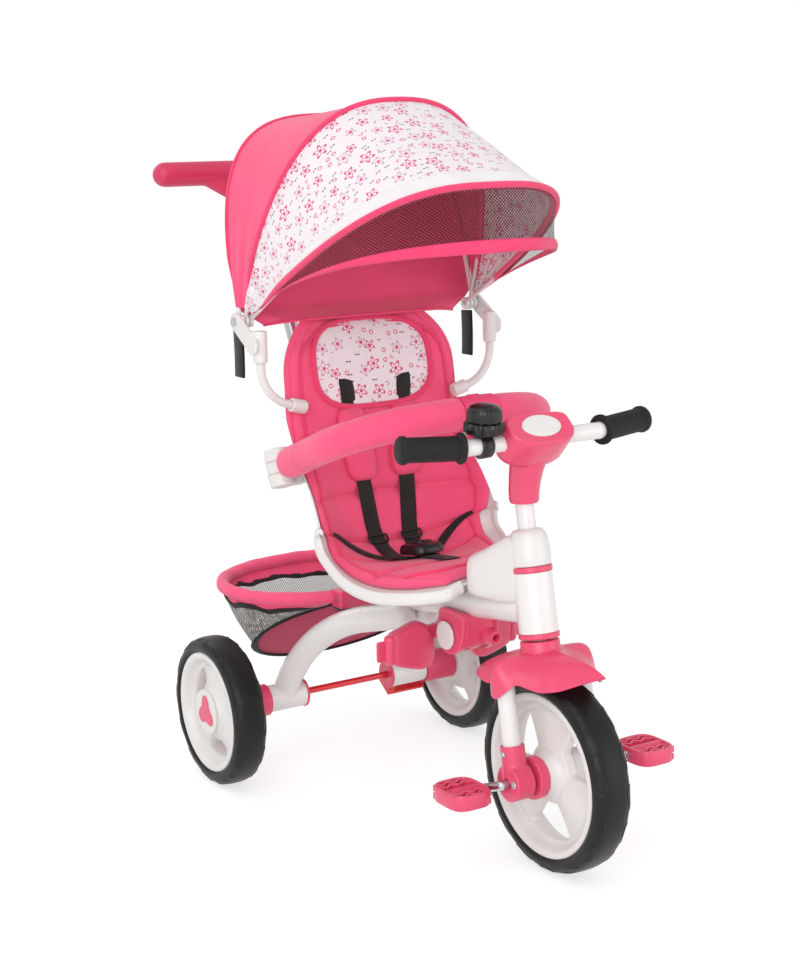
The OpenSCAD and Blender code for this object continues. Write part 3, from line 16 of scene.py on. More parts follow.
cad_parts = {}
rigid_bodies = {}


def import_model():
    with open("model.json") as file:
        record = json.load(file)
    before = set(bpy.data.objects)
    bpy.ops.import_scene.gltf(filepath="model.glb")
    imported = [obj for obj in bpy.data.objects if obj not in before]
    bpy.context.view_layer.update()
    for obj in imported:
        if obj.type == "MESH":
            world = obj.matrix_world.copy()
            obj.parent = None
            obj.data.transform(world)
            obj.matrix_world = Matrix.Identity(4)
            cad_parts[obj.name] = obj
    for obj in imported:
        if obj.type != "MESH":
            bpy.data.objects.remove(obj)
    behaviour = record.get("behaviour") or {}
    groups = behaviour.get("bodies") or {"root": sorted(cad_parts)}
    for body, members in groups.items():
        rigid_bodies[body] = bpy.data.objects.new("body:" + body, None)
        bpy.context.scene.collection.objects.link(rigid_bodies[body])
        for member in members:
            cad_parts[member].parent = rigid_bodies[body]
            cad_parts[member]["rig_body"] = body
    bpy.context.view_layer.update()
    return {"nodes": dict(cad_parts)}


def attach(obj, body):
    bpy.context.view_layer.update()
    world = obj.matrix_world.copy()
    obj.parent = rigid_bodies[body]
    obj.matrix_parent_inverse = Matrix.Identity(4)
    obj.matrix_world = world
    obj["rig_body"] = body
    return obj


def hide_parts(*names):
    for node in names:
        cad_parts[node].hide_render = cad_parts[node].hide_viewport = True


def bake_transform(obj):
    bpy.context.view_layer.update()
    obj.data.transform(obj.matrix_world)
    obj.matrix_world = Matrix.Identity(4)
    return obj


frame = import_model()

# %% [markdown]
# Camera
#
# A camera could be nudged by eye until things line up. Here its place was worked out from the wheels, whose
# circles turn into ellipses that tell the direction of view, so it goes in as plain numbers. The lens is
# given in pixels of the picture's long side and turned into millimetres on a 36 mm sensor.

# %% Set up the camera
turn, lift, lean = math.radians(58.2), math.radians(11.31), math.radians(-1.34)
far, aim = 2.483, Vector((-0.0247, 0.0, 0.4470))
focal_px, picture_high = 1732.26, 977
back = Vector((math.sin(turn) * math.cos(lift), -math.cos(turn) * math.cos(lift), math.sin(lift)))
right = Vector((math.cos(turn), math.sin(turn), 0))
up = back.cross(right)
across = math.cos(lean) * right + math.sin(lean) * up
upright = -math.sin(lean) * right + math.cos(lean) * up
camera = bpy.data.objects.new("camera", bpy.data.cameras.new("camera"))
bpy.context.scene.collection.objects.link(camera)
camera.data.sensor_width = 36
camera.data.lens = focal_px * 36 / picture_high
facing = Matrix((across, upright, back)).transposed().to_4x4()
camera.matrix_world = Matrix.Translation(aim + back * far) @ facing
bpy.context.scene.camera = camera
print("camera at", [round(c, 3) for c in camera.matrix_world.translation], "lens", round(camera.data.lens, 1))

# %% [markdown]
# Finishes: the tools
#
# Every finish is made of shader nodes, so it works on any shape and needs no pictures. Writing out nodes by
# hand is long, so a few small helpers keep it readable: they open a material, add a node and wire it, do sums
# and mix colours. Colours are written as they look on a screen and turned into the linear values that light
# is counted in.

# %% Helpers for finishes
def linear(code, gain=1.0):
    parts = [int(code[i:i + 2], 16) / 255 for i in (1, 3, 5)]
    return [min(1.0, gain * (c / 12.92 if c < 0.04045 else ((c + 0.055) / 1.055) ** 2.4))
            for c in parts] + [1.0]


def open_finish(name, **sockets):
    made = bpy.data.materials.new(name)
    made.use_nodes = True
    tree = made.node_tree
    shader = tree.nodes["Principled BSDF"]
    for socket, value in sockets.items():
        shader.inputs[socket.replace("_", " ")].default_value = value
    return made, tree, shader


def add(tree, kind, wires=None, **settings):
    node = tree.nodes.new("ShaderNode" + kind)
    for key, value in settings.items():
        setattr(node, key, value)
    for key, value in (wires or {}).items():
        if isinstance(value, bpy.types.NodeSocket):
            tree.links.new(value, node.inputs[key])
        else:
            node.inputs[key].default_value = value
    return node


def sums(tree, what, a, b=0.0, c=0.0):
    return add(tree, "Math", {0: a, 1: b, 2: c}, operation=what).outputs[0]


def between(tree, share, first, second):
    return add(tree, "Mix", {0: share, 6: first, 7: second}, data_type="RGBA").outputs[2]


def spread(tree, value, low, high, to_low, to_high):
    return add(tree, "MapRange", {0: value, 1: low, 2: high, 3: to_low, 4: to_high}).outputs[0]


def speckle(tree, where, size, detail=2.0):
    return add(tree, "TexNoise", {"Vector": where, "Scale": 1 / size, "Detail": detail}).outputs[0]


print("finish helpers ready")

# %% [markdown]
# Finishes: plastic, paint, rubber and metal
#
# Moulded plastic is never one even colour. It has a faint cloudiness, a fine grain from the mould, shinier
# and duller patches where hands have been, and paler edges where the surface rubs. One recipe gives all of
# that, and each material of the trike only changes the colour, the gloss, the size of the grain and how far
# the edges are worn.

# %% Mix the hard finishes
def hard_finish(name, code, rough, grain=0.0012, depth=0.12, wear=0.25, coat=0.0, metal=0.0, cloud=0.05,
                shine=0.5):
    made, tree, shader = open_finish(name, Coat_Weight=coat, Coat_Roughness=0.25, Metallic=metal,
                                     Specular_IOR_Level=shine)
    where = add(tree, "TexCoord").outputs["Object"]
    patches = speckle(tree, where, 0.11, 2.0)
    colour = between(tree, spread(tree, patches, 0.15, 0.85, 0, 1), linear(code, 1 - cloud),
                     linear(code, 1 + cloud))
    edge = spread(tree, add(tree, "NewGeometry").outputs["Pointiness"], 0.515, 0.60, 0.0, wear)
    tree.links.new(between(tree, edge, colour, linear(code, 1.45)), shader.inputs["Base Color"])
    handled = speckle(tree, where, 0.06, 1.5)
    tree.links.new(spread(tree, handled, 0.1, 0.9, rough * 0.85, rough * 1.2), shader.inputs["Roughness"])
    fine = speckle(tree, where, grain, 3.0)
    bump = add(tree, "Bump", {"Height": fine, "Strength": depth, "Distance": 0.0004})
    tree.links.new(bump.outputs[0], shader.inputs["Normal"])
    return made


white_paint = hard_finish("white_paint", "#DBD8D7", 0.24, grain=0.006, depth=0.05, wear=0.05, coat=0.35,
                          cloud=0.015)
white_plastic = hard_finish("white_plastic", "#D8D5D3", 0.30, grain=0.0016, depth=0.08, wear=0.05, coat=0.1,
                            cloud=0.02)
pink_plastic = hard_finish("pink_plastic", "#DA4468", 0.30, grain=0.0014, depth=0.09, wear=0.12, coat=0.12)
crimson_plastic = hard_finish("crimson_plastic", "#C83058", 0.42, grain=0.0010, depth=0.2, wear=0.15)
red_paint = hard_finish("red_paint", "#D71E28", 0.30, grain=0.005, depth=0.06, wear=0.15, coat=0.3)
red_plastic = hard_finish("red_plastic", "#DB222C", 0.34, grain=0.0014, depth=0.1, wear=0.15)
black_plastic = hard_finish("black_plastic", "#191718", 0.26, grain=0.0015, depth=0.1, wear=0.05, coat=0.1,
                            cloud=0.12, shine=0.35)
grip_rubber = hard_finish("grip_rubber", "#1A1919", 0.52, grain=0.0009, depth=0.35, wear=0.04, cloud=0.12,
                          shine=0.25)
tyre_black = hard_finish("tyre_black", "#141313", 0.40, grain=0.0011, depth=0.25, wear=0.04, cloud=0.12,
                         shine=0.3)
steel = hard_finish("steel", "#C2C4C7", 0.24, grain=0.0008, depth=0.1, wear=0.1, metal=1.0, cloud=0.04)
print("hard finishes:", white_paint.name, pink_plastic.name, crimson_plastic.name, tyre_black.name,
      steel.name)

# %% [markdown]
# Finishes: cloth, webbing and net
#
# Cloth shows its threads. A plain weave is two sets of threads that take turns on top, and the product of two
# sine waves along and across the sheet gives just that bump. For this the sheet carries flat coordinates in
# metres, so the threads keep their true size however the sheet is cut. Larger, softer bumps give the slight
# puckers of sewn cloth. Net is the same idea with holes: two sets of slanting threads, and nothing in
# between.

# %% Mix the cloth finishes
def threads(tree, flat, pitch):
    parts = add(tree, "SeparateXYZ", {0: flat}).outputs
    waves = [sums(tree, "SINE", sums(tree, "MULTIPLY", parts[k], 2 * math.pi / pitch)) for k in (0, 1)]
    return sums(tree, "MULTIPLY_ADD", sums(tree, "MULTIPLY", waves[0], waves[1]), 0.5, 0.5)


def weave(tree, shader, colour, valley_shade_colour, pitch, pucker, depth, rough):
    coords = add(tree, "TexCoord").outputs
    over = threads(tree, coords["UV"], pitch)
    soft = speckle(tree, coords["Object"], 0.03, 4.0)
    # Where the weave's bump is low, between the threads, the colour is mixed towards a darker one: painted
    # shade in the hollows of the weave.
    shaded = between(tree, spread(tree, over, 0.0, 0.45, 0.3, 0.0), colour, valley_shade_colour)
    tree.links.new(shaded, shader.inputs["Base Color"])
    tree.links.new(spread(tree, soft, 0.3, 0.7, rough * 0.9, rough * 1.1), shader.inputs["Roughness"])
    waves = add(tree, "Bump", {"Height": soft, "Strength": pucker, "Distance": 0.006})
    yarn = add(tree, "Bump", {"Height": over, "Strength": depth, "Distance": 0.0004,
                              "Normal": waves.outputs[0]})
    tree.links.new(yarn.outputs[0], shader.inputs["Normal"])


def woven_finish(name, code, pitch=0.0014, pucker=0.25, depth=0.5, rough=0.8, sheen=0.25, cloud=0.05):
    made, tree, shader = open_finish(name, Sheen_Weight=sheen, Sheen_Roughness=0.5, Specular_IOR_Level=0.25)
    patches = speckle(tree, add(tree, "TexCoord").outputs["Object"], 0.08, 3.0)
    colour = between(tree, spread(tree, patches, 0.3, 0.7, 0, 1), linear(code, 1 - cloud),
                     linear(code, 1 + cloud))
    # The colour at 0.6 of the cloth's own is the painted shade between the threads.
    weave(tree, shader, colour, linear(code, 0.6), pitch, pucker, depth, rough)
    return made


def net_finish(name, code, pitch, thread, rough=0.75):
    made, tree, shader = open_finish(name, Specular_IOR_Level=0.25, Sheen_Weight=0.2)
    coords = add(tree, "TexCoord").outputs
    parts = add(tree, "SeparateXYZ", {0: coords["UV"]}).outputs
    there = 0.0
    for slant in (1, -1):
        run = sums(tree, "MULTIPLY_ADD", parts[1], slant / pitch, sums(tree, "MULTIPLY", parts[0], 1 / pitch))
        off = sums(tree, "ABSOLUTE", sums(tree, "SUBTRACT", sums(tree, "FRACT", run), 0.5))
        there = sums(tree, "MAXIMUM", there, spread(tree, off, 0.5 - thread, 0.5 - thread * 0.7, 0.0, 1.0))
    tree.links.new(there, shader.inputs["Alpha"])
    patches = speckle(tree, coords["Object"], 0.05, 3.0)
    tree.links.new(between(tree, patches, linear(code, 0.8), linear(code, 1.15)), shader.inputs["Base Color"])
    tree.links.new(spread(tree, patches, 0.3, 0.7, rough * 0.9, rough * 1.1), shader.inputs["Roughness"])
    bump = add(tree, "Bump", {"Height": there, "Strength": 0.5, "Distance": 0.0006})
    tree.links.new(bump.outputs[0], shader.inputs["Normal"])
    return made


pink_cloth = woven_finish("pink_cloth", "#F0557F")
pink_piping = woven_finish("pink_piping", "#E8416F", pitch=0.0011, pucker=0.1)
pink_foam = woven_finish("pink_foam", "#EF527D", pitch=0.0009, pucker=0.35, depth=0.35, rough=0.7, sheen=0.3)
black_webbing = woven_finish("black_webbing", "#1F1D1E", pitch=0.0022, pucker=0.05, depth=0.8, rough=0.6,
                             sheen=0.1)
grey_net = net_finish("grey_net", "#74736F", 0.0042, 0.25)
crimson_net = net_finish("crimson_net", "#C2275A", 0.0036, 0.52)
visor_net = net_finish("visor_net", "#1B1A1B", 0.0046, 0.17)
print("cloth finishes:", pink_cloth.name, pink_foam.name, black_webbing.name, grey_net.name, visor_net.name)

# %% [markdown]
# Finishes: the printed cloth
#
# The canopy's front and the head panel are pale cloth with a scattered print. A print could be drawn as a
# picture, but a few sums do it at any scale: a cell pattern scatters points over the cloth, and round each
# point we draw a five petal flower from the distance and the angle. A second, finer scatter adds rings and
# dots in the gaps.

# %% Mix the printed cloth
def scattered(tree, flat, pitch, wander):
    cells = add(tree, "TexVoronoi", {"Vector": flat, "Scale": 1 / pitch, "Randomness": wander},
                voronoi_dimensions="2D")
    here, there = [add(tree, "VectorMath", {0: spot, "Scale": 1 / pitch}, operation="SCALE").outputs[0]
                   for spot in (flat, cells.outputs["Position"])]
    gap = add(tree, "VectorMath", {0: here, 1: there}, operation="SUBTRACT").outputs[0]
    parts = add(tree, "SeparateXYZ", {0: gap}).outputs
    chance = add(tree, "SeparateColor", {0: cells.outputs["Color"]}).outputs
    return cells.outputs["Distance"], sums(tree, "ARCTAN2", parts[1], parts[0]), chance


def printed_finish(name, ground, bright, pale, dark):
    made, tree, shader = open_finish(name, Sheen_Weight=0.2, Sheen_Roughness=0.5, Specular_IOR_Level=0.25)
    flat = add(tree, "TexCoord").outputs["UV"]
    away, angle, chance = scattered(tree, flat, 0.033, 0.6)
    spin = sums(tree, "MULTIPLY_ADD", chance[1], 6.0, sums(tree, "MULTIPLY", angle, 5.0))
    petal = sums(tree, "MULTIPLY", sums(tree, "MULTIPLY_ADD", sums(tree, "COSINE", spin), 0.26, 0.74),
                 spread(tree, chance[2], 0, 1, 0.26, 0.38))
    flower = sums(tree, "LESS_THAN", away, petal)
    inner = sums(tree, "LESS_THAN", away, sums(tree, "MULTIPLY", petal, 0.68))
    heart = sums(tree, "LESS_THAN", away, 0.085)
    near, bend, luck = scattered(tree, flat, 0.0135, 0.8)
    clear = sums(tree, "GREATER_THAN", away, 0.47)
    ring = sums(tree, "LESS_THAN", sums(tree, "ABSOLUTE", sums(tree, "SUBTRACT", near, 0.2)), 0.055)
    ringed = sums(tree, "MULTIPLY", clear, sums(tree, "GREATER_THAN", luck[0], 0.6))
    ring = sums(tree, "MULTIPLY", ring, ringed)
    tip = sums(tree, "COSINE", sums(tree, "MULTIPLY", bend, 2.0))
    leaf = sums(tree, "LESS_THAN", near, sums(tree, "MULTIPLY", 0.3, tip))
    leaf = sums(tree, "MULTIPLY", leaf, sums(tree, "MULTIPLY", clear, sums(tree, "LESS_THAN", luck[0], 0.42)))
    bloom = between(tree, sums(tree, "GREATER_THAN", chance[0], 0.5), linear(bright), linear(pale))
    colour = between(tree, leaf, linear(ground), linear(dark))
    colour = between(tree, ring, colour, linear(bright))
    colour = between(tree, flower, colour, bloom)
    colour = between(tree, inner, colour, linear(ground))
    colour = between(tree, heart, colour, linear(bright))
    # The pale print colour also serves here as the painted shade between the threads.
    weave(tree, shader, colour, linear(pale), 0.0014, 0.25, 0.45, 0.8)
    return made


print_cloth = printed_finish("print_cloth", "#E6DFE2", "#D4477A", "#CBA0B6", "#4A4248")
hem_cloth = woven_finish("hem_cloth", "#E8E3E5", pitch=0.0012)
print("printed cloth:", len(print_cloth.node_tree.nodes), "nodes")

# %% [markdown]
# Making shapes: the tools
#
# Most pieces here are grids of points bent into shape: a strap is a long narrow grid, a tube is a grid that
# closes on itself, a wheel is a grid wrapped round an axle. So one helper lists the faces of a grid, and
# another makes a piece of them, with its finish, its body and the solid that it stands for. Sizes are in
# millimetres from the rear axle, as on a drawing, and the helper moves them into the frame, which has its
# origin in the middle and counts metres.

# %% Helpers for shapes
middle_mm = 199.3306


def squared_off(power, value):
    return np.sign(value) * np.abs(value) ** (2 / power)


def place(points):
    return np.asarray(points, float).reshape(-1, 3) / 1000 - (middle_mm / 1000, 0, 0)


def cells(rows, cols, loop_rows=False, loop_cols=False):
    found = []
    for i in range(rows if loop_rows else rows - 1):
        for j in range(cols if loop_cols else cols - 1):
            k, m = (i + 1) % rows, (j + 1) % cols
            found.append([i * cols + j, i * cols + m, k * cols + m, k * cols + j])
    return found


def piece(name, points, faces, finish, body, stands_for=(), flat=None, sharp=None):
    mesh = bpy.data.meshes.new(name)
    mesh.from_pydata(place(points).tolist(), [], faces)
    mesh.validate()
    mesh.polygons.foreach_set("use_smooth", [True] * len(mesh.polygons))
    if flat is not None:
        spots = np.asarray(flat, float).reshape(-1, 2)
        corner = np.zeros(len(mesh.loops), int)
        mesh.loops.foreach_get("vertex_index", corner)
        mesh.uv_layers.new(name="flat").data.foreach_set("uv", (spots[corner] / 1000).ravel())
    made = bpy.data.objects.new(name, mesh)
    bpy.context.scene.collection.objects.link(made)
    mesh.materials.append(finish)
    if sharp:
        mesh.set_sharp_from_angle(angle=math.radians(sharp))
    if body:
        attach(made, body)
    if stands_for:
        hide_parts(*stands_for)
    return made


def shaped(name, shape, finish, body, stands_for=(), sharp=None):
    points, faces, flat = shape
    return piece(name, points, faces, finish, body, stands_for, flat, sharp)


def worked(made, kind, **settings):
    tool = made.modifiers.new(kind, kind)
    for key, value in settings.items():
        setattr(tool, key, value)
    done = bpy.data.meshes.new_from_object(made.evaluated_get(bpy.context.evaluated_depsgraph_get()))
    done.name = made.name
    made.modifiers.clear()
    made.data = done
    return made


print("the frame's origin lies", round(middle_mm), "mm ahead of the rear axle")

# %% [markdown]
# Making shapes: sweeping and turning
#
# A cord is an outline carried along a path, and a knob is a profile turned about an axle. Blender's curves
# could do both, but their points are hard to reach afterwards. Here every shape is a list of points, a list
# of faces and a list of flat places for the weave, so several shapes can be joined into one piece.

# %% Helpers that sweep and turn
def unit(v):
    v = np.asarray(v, float)
    return v / np.maximum(np.linalg.norm(v, axis=-1, keepdims=True), 1e-9)


def travel(path, loop=False, upward=None):
    way = np.asarray(path, float)
    ahead = unit(np.roll(way, -1, 0) - np.roll(way, 1, 0)) if loop else unit(np.gradient(way, axis=0))
    if upward is not None:
        side = unit(np.cross(ahead, np.broadcast_to(np.asarray(upward, float), ahead.shape)))
    else:
        side = [unit(np.cross(ahead[0], (0, 0, 1)) + np.cross(ahead[0], (1e-3, 1e-3, 0)))]
        for step in ahead[1:]:
            side.append(unit(side[-1] - step * np.dot(side[-1], step)))
        side = np.array(side)
    return way, side, np.cross(side, ahead)


def disc(radius, steps=16, tall=None):
    turns = np.arange(steps) * 2 * np.pi / steps
    return np.stack([radius * np.cos(turns), (tall or radius) * np.sin(turns)], -1)


def run_along(way):
    return np.concatenate([[0], np.cumsum(np.linalg.norm(np.diff(way, axis=0), axis=1))])


def capped(rows, cols, foot=True):
    ends = [list(range(cols))[::-1], list(range((rows - 1) * cols, rows * cols))]
    return cells(rows, cols, False, True) + (ends if foot else ends[1:])


def stacked(rings):
    points = np.concatenate(rings)
    return points, capped(len(rings), len(rings[0])), np.zeros((len(points), 2))


def sweep(path, outline, loop=False, upward=None, swell=None):
    way, side, top = travel(path, loop, upward)
    shape = np.asarray(outline, float)
    grow = np.ones(len(way)) if swell is None else np.asarray(swell, float)
    spread_out = side[:, None] * shape[None, :, :1] + top[:, None] * shape[None, :, 1:]
    points = way[:, None] + grow[:, None, None] * spread_out
    rows, cols = len(way), len(shape)
    faces = cells(rows, cols, True, True) if loop else capped(rows, cols)
    flat = np.stack(np.meshgrid(run_along(way), run_along(shape), indexing="ij"), -1)
    return points.reshape(-1, 3), faces, flat.reshape(-1, 2)


def turned(profile, centre, axle=(0, 1, 0), steps=64, closed=True):
    axle = unit(axle)
    first = unit(np.cross(axle, (0, 0, 1) if abs(axle[2]) < 0.9 else (1, 0, 0)))
    second = np.cross(axle, first)
    turns = np.arange(steps) * 2 * np.pi / steps
    spoke = np.cos(turns)[:, None] * first + np.sin(turns)[:, None] * second
    prof = np.asarray(profile, float)
    points = np.asarray(centre, float) + prof[None, :, :1] * spoke[:, None] + prof[None, :, 1:] * axle
    faces = cells(steps, len(prof), True, closed)
    if not closed:
        n = len(prof)
        faces += [[i * n for i in range(steps)], [i * n + n - 1 for i in range(steps)][::-1]]
    flat = np.stack(np.meshgrid(turns * prof[:, 0].max(), run_along(prof), indexing="ij"), -1)
    return points.reshape(-1, 3), faces, flat.reshape(-1, 2)


def joined(*parts):
    points, faces, flats, first = [], [], [], 0
    for spots, shape, flat in parts:
        points.append(spots)
        flats.append(flat)
        faces += [[first + k for k in face] for face in shape]
        first += len(spots)
    return np.concatenate(points), faces, np.concatenate(flats)


def soft_box(power, half_wide, half_tall):
    turns = np.radians(np.arange(0, 360, 10))
    return [(squared_off(power, math.cos(a)) * half_wide, squared_off(power, math.sin(a)) * half_tall)
            for a in turns]


def evened(line, passes):
    for _ in range(passes):
        line[1:-1] = (line[:-2] + 2 * line[1:-1] + line[2:]) / 4
    return line


print("shape helpers ready")

# %% [markdown]
# Solids that only need softer edges
#
# Many solids already have the right form, such as the brackets and the T-bar of the push handle, but their
# edges are knife sharp, which no moulded part is. Bevels could be put on edge by edge. It is quicker and
# safer to remake a copy of the surface in tiny even cells and smooth it a little, as the radius in a mould
# does, and to let the copy stand for the solid.

# %% Helper that rounds off a solid
def rounded(node, finish, cell, passes):
    source = frame["nodes"][node]
    made = bpy.data.objects.new(node + "_moulded", source.data.copy())
    bpy.context.scene.collection.objects.link(made)
    made.data.materials.clear()
    made.data.materials.append(finish)
    worked(made, "REMESH", mode="VOXEL", voxel_size=cell / 1000, use_smooth_shade=True)
    worked(made, "SMOOTH", factor=0.5, iterations=passes)
    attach(made, source["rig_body"])
    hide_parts(node)
    return made


def dress(finish, *nodes):
    for node in nodes:
        solid = frame["nodes"][node]
        solid.data.materials.clear()
        solid.data.materials.append(finish)


for node in ("bearing_caps", "clutch_ring", "fork_ends"):
    rounded(node, pink_plastic, 1.4, 4)
for node in ("seat_brackets", "canopy_posts", "footrest_pin"):
    rounded(node, white_plastic, 1.5, 4)
rounded("basket_brackets", pink_plastic, 1.3, 4)
rounded("guard_button", crimson_plastic, 0.8, 3)
rounded("handle_grip", crimson_plastic, 2.2, 8)
rounded("brake_pedal", red_plastic, 1.3, 4)
rounded("buckle_button", black_plastic, 0.8, 3)
dress(white_paint, "frame", "rear_legs", "fork", "handlebar", "handle_lower_tube", "canopy_rear_bow",
      "canopy_mid_bow", "canopy_front_bow")
dress(steel, "frame_fasteners", "handle_upper_tube", "crank", "lock_pin_right", "lock_pin_left")
dress(red_paint, "brake_rod")
dress(pink_plastic, "brake_drum_right", "brake_drum_left")

# %% [markdown]
# Tyres
#
# The tyres are broad, round shouldered rubber with raised drop shapes round each shoulder. A tyre could be
# one turned profile, and that is the start. For the drops we follow the tyre's own surface: a small closed
# loop is drawn flat, in millimetres along and across the tread, and each of its points is lifted onto the
# rubber, so the raised bead hugs the curve all the way round.

# %% Make the tyres
def tyre_section(radius, width, seat, turns):
    r = seat + (radius - seat) * np.abs(squared_off(3, np.sin(turns)))
    return np.stack([r, width / 2 * squared_off(3, np.cos(turns))], -1)


def on_tyre(centre, radius, width, seat, angle, turns, lift):
    here, near = tyre_section(radius, width, seat, turns), tyre_section(radius, width, seat, turns + 0.02)
    slope = near - here
    normal = unit(np.stack([slope[..., 1], -slope[..., 0]], -1)) * -1
    spot = here + normal * lift[..., None]
    return np.stack([centre[0] + spot[..., 0] * np.cos(angle), centre[1] + spot[..., 1],
                     centre[2] + spot[..., 0] * np.sin(angle)], -1)


def make_tyre(name, node, centre, radius, width, drops, body):
    wall = 21
    seat = radius - wall
    turns = np.radians(np.linspace(4, 176, 27))
    section = np.concatenate([[[seat - 0.5, width / 2 - 3]], tyre_section(radius, width, seat, turns),
                              [[seat - 0.5, -width / 2 + 3]]])
    parts = [turned(section, centre, steps=112)]
    loop = np.radians(np.arange(0, 360, 15))
    long, wide = 17 * np.cos(loop), 8.5 * np.sin(loop) * np.abs(np.sin(loop / 2)) ** 1.2
    strip = np.array([[-2.4, -0.3], [-1.3, 0.55], [0, 0.8], [1.3, 0.55], [2.4, -0.3]])
    for side in (-1, 1):
        for k in range(drops):
            about = 2 * np.pi * (k + (0.5 if side > 0 else 0)) / drops
            tangent = unit(np.gradient(np.stack([long, wide], -1), axis=0))
            lane_long = long[:, None] - strip[None, :, 0] * tangent[:, 1:]
            lane_wide = wide[:, None] + strip[None, :, 0] * tangent[:, :1]
            angle = about + side * lane_long / radius
            turn_at = np.radians(90 + side * 47) - side * lane_wide / wall
            lift = np.broadcast_to(strip[None, :, 1], angle.shape)
            spots = on_tyre(centre, radius, width, seat, angle, turn_at, lift)
            parts.append((spots.reshape(-1, 3), cells(len(loop), 5, True), np.zeros((len(loop) * 5, 2))))
    return shaped(name, joined(*parts), tyre_black, body, [node])


front_axle, rear_axles = (538, 0, 130), {"right": (0, -216, 111), "left": (0, 216, 111)}
tyre = make_tyre("front_tyre_rubber", "front_tyre", front_axle, front_axle[2], 54, 15, "front_wheel")
for side, centre in rear_axles.items():
    make_tyre("rear_tyre_rubber_" + side, "rear_tyre_" + side, centre, centre[2], 50, 13,
              "rear_wheel_" + side)
print("tyres: 3,", len(tyre.data.polygons), "faces on the front one")

# %% [markdown]
# Wheels
#
# The wheels are white mouldings with three broad dished spokes. Cutting three windows with booleans leaves
# rough edges, so the wheel is a ring shaped grid instead, drawn with its grid lines along the windows' edges.
# The cells in the windows are simply left out, a wall joins the front skin to the back skin there, and a
# subdivision surface rounds everything off as a mould would.

# %% Make the wheels
def make_wheel(name, node, centre, seat, half, hub, faces_y, body, crown=7.0):
    rings = [(seat, half - 5), (seat - 0.6, half - 1), (seat - 4.5, half), (seat - 9.5, half - 0.8),
             (seat - 12.5, half - 5), (seat - 15.5, half - 12), (seat - 19, 9)]
    first_open = len(rings)
    rings += [(r, 6 + 1.5 * abs(u)) for r, u in zip(np.linspace(seat - 23, hub + 16, 8),
                                                    np.linspace(-1, 1, 8))]
    last_open = len(rings) - 1
    rings += [(hub + 12, 8.5), (hub + 7, 12.5), (hub + 3, 18), (hub + 0.8, None), (hub - 2, None),
              (hub * 0.45, None)]
    opening, spoke = 9, 9
    cols = 3 * (opening + spoke)
    skins = []
    for which, hub_face in zip((-1, 1), faces_y):
        for r, y in rings:
            for j in range(cols):
                sector, k = divmod(j, opening + spoke)
                share = np.clip((r - hub) / (seat - hub), 0, 1)
                wide = np.radians(17 + 14 * share)
                mid = 2 * np.pi * sector / 3 + np.radians(150)
                if k <= opening:
                    angle = mid + wide * (2 * k / opening - 1)
                    bump = 0.0
                else:
                    u = (k - opening) / spoke
                    angle = mid + wide + u * (2 * np.pi / 3 - 2 * wide)
                    bump = np.sin(np.pi * u) ** 1.5
                if y is None:
                    out = abs(hub_face) - (1.5 if r > hub else 0)
                else:
                    out = min(y + (crown * bump if hub + 10 < r < seat - 20 else 0), half)
                skins.append((centre[0] + r * np.cos(angle), centre[1] + which * out,
                              centre[2] + r * np.sin(angle)))
    rows, faces = len(rings), []
    for layer in (0, 1):
        base = layer * rows * cols
        for i in range(rows - 1):
            for j in range(cols):
                if first_open <= i < last_open and j % (opening + spoke) < opening:
                    continue
                quad = [base + i * cols + j, base + i * cols + (j + 1) % cols,
                        base + (i + 1) * cols + (j + 1) % cols, base + (i + 1) * cols + j]
                faces.append(quad if layer else quad[::-1])
        end = [base + (rows - 1) * cols + j for j in range(cols)]
        faces.append(end if layer else end[::-1])
    deep = rows * cols
    for j in range(cols):
        m = (j + 1) % cols
        faces.append([j, m, deep + m, deep + j])
        if j % (opening + spoke) < opening:
            for i, order in ((first_open, -1), (last_open, 1)):
                faces.append([i * cols + j, i * cols + m, deep + i * cols + m, deep + i * cols + j][::order])
    for sector in range(3):
        for col, order in ((0, 1), (opening, -1)):
            j = sector * (opening + spoke) + col
            for i in range(first_open, last_open):
                here, ahead = i * cols + j, (i + 1) * cols + j
                faces.append([here, ahead, deep + ahead, deep + here][::order])
    made = piece(name, skins, faces, white_plastic, body, [node])
    return worked(made, "SUBSURF", levels=2, render_levels=2)


wheel = make_wheel("front_wheel_moulding", "front_rim", front_axle, 109.5, 26, 25, (-26, 44), "front_wheel")
for side, centre in rear_axles.items():
    outward = (-24, 23.6) if side == "right" else (-23.6, 24)
    make_wheel("rear_wheel_moulding_" + side, "rear_rim_" + side, centre, 90.5, 24, 31, outward,
               "rear_wheel_" + side, 6.0)
print("wheels: 3,", len(wheel.data.polygons), "faces on the front one")

# %% [markdown]
# Hub caps
#
# On the outside of each rear wheel sits a white cap with a pink insert, a plain three lobed rosette. Its
# outline is a circle whose radius swells three times per turn, and the insert is that outline stepped inwards
# and upwards so that its edge is round.

# %% Make the hub caps
for side, (x, y, z) in rear_axles.items():
    out = -1 if side == "right" else 1
    face = y + out * 24
    rim = turned([(33.5, -3.0), (34.5, -1.5), (34, 0.2), (31, 0.9), (27, 0.2), (12, 0.0)],
                 (x, face, z), (0, out, 0), 64, False)
    shaped("hub_cap_" + side, rim, white_plastic, "rear_wheel_" + side)
    turns = np.radians(np.arange(0, 360, 5))
    lobes = 20.5 + 5.5 * np.cos(3 * (turns - np.pi / 2))
    rosette, steps = [], [(1.0, -0.5), (1.0, 0.5), (0.95, 0.95), (0.8, 1.0), (0.4, 1.0)]
    for scale, rise in steps:
        rosette += [(x + scale * r * math.cos(a), face + out * rise, z + scale * r * math.sin(a))
                    for r, a in zip(lobes, turns)]
    piece("hub_rosette_" + side, rosette, capped(len(steps), len(turns), False), pink_plastic,
          "rear_wheel_" + side)
print("hub caps: 2 with rosettes", len(turns), "points round")

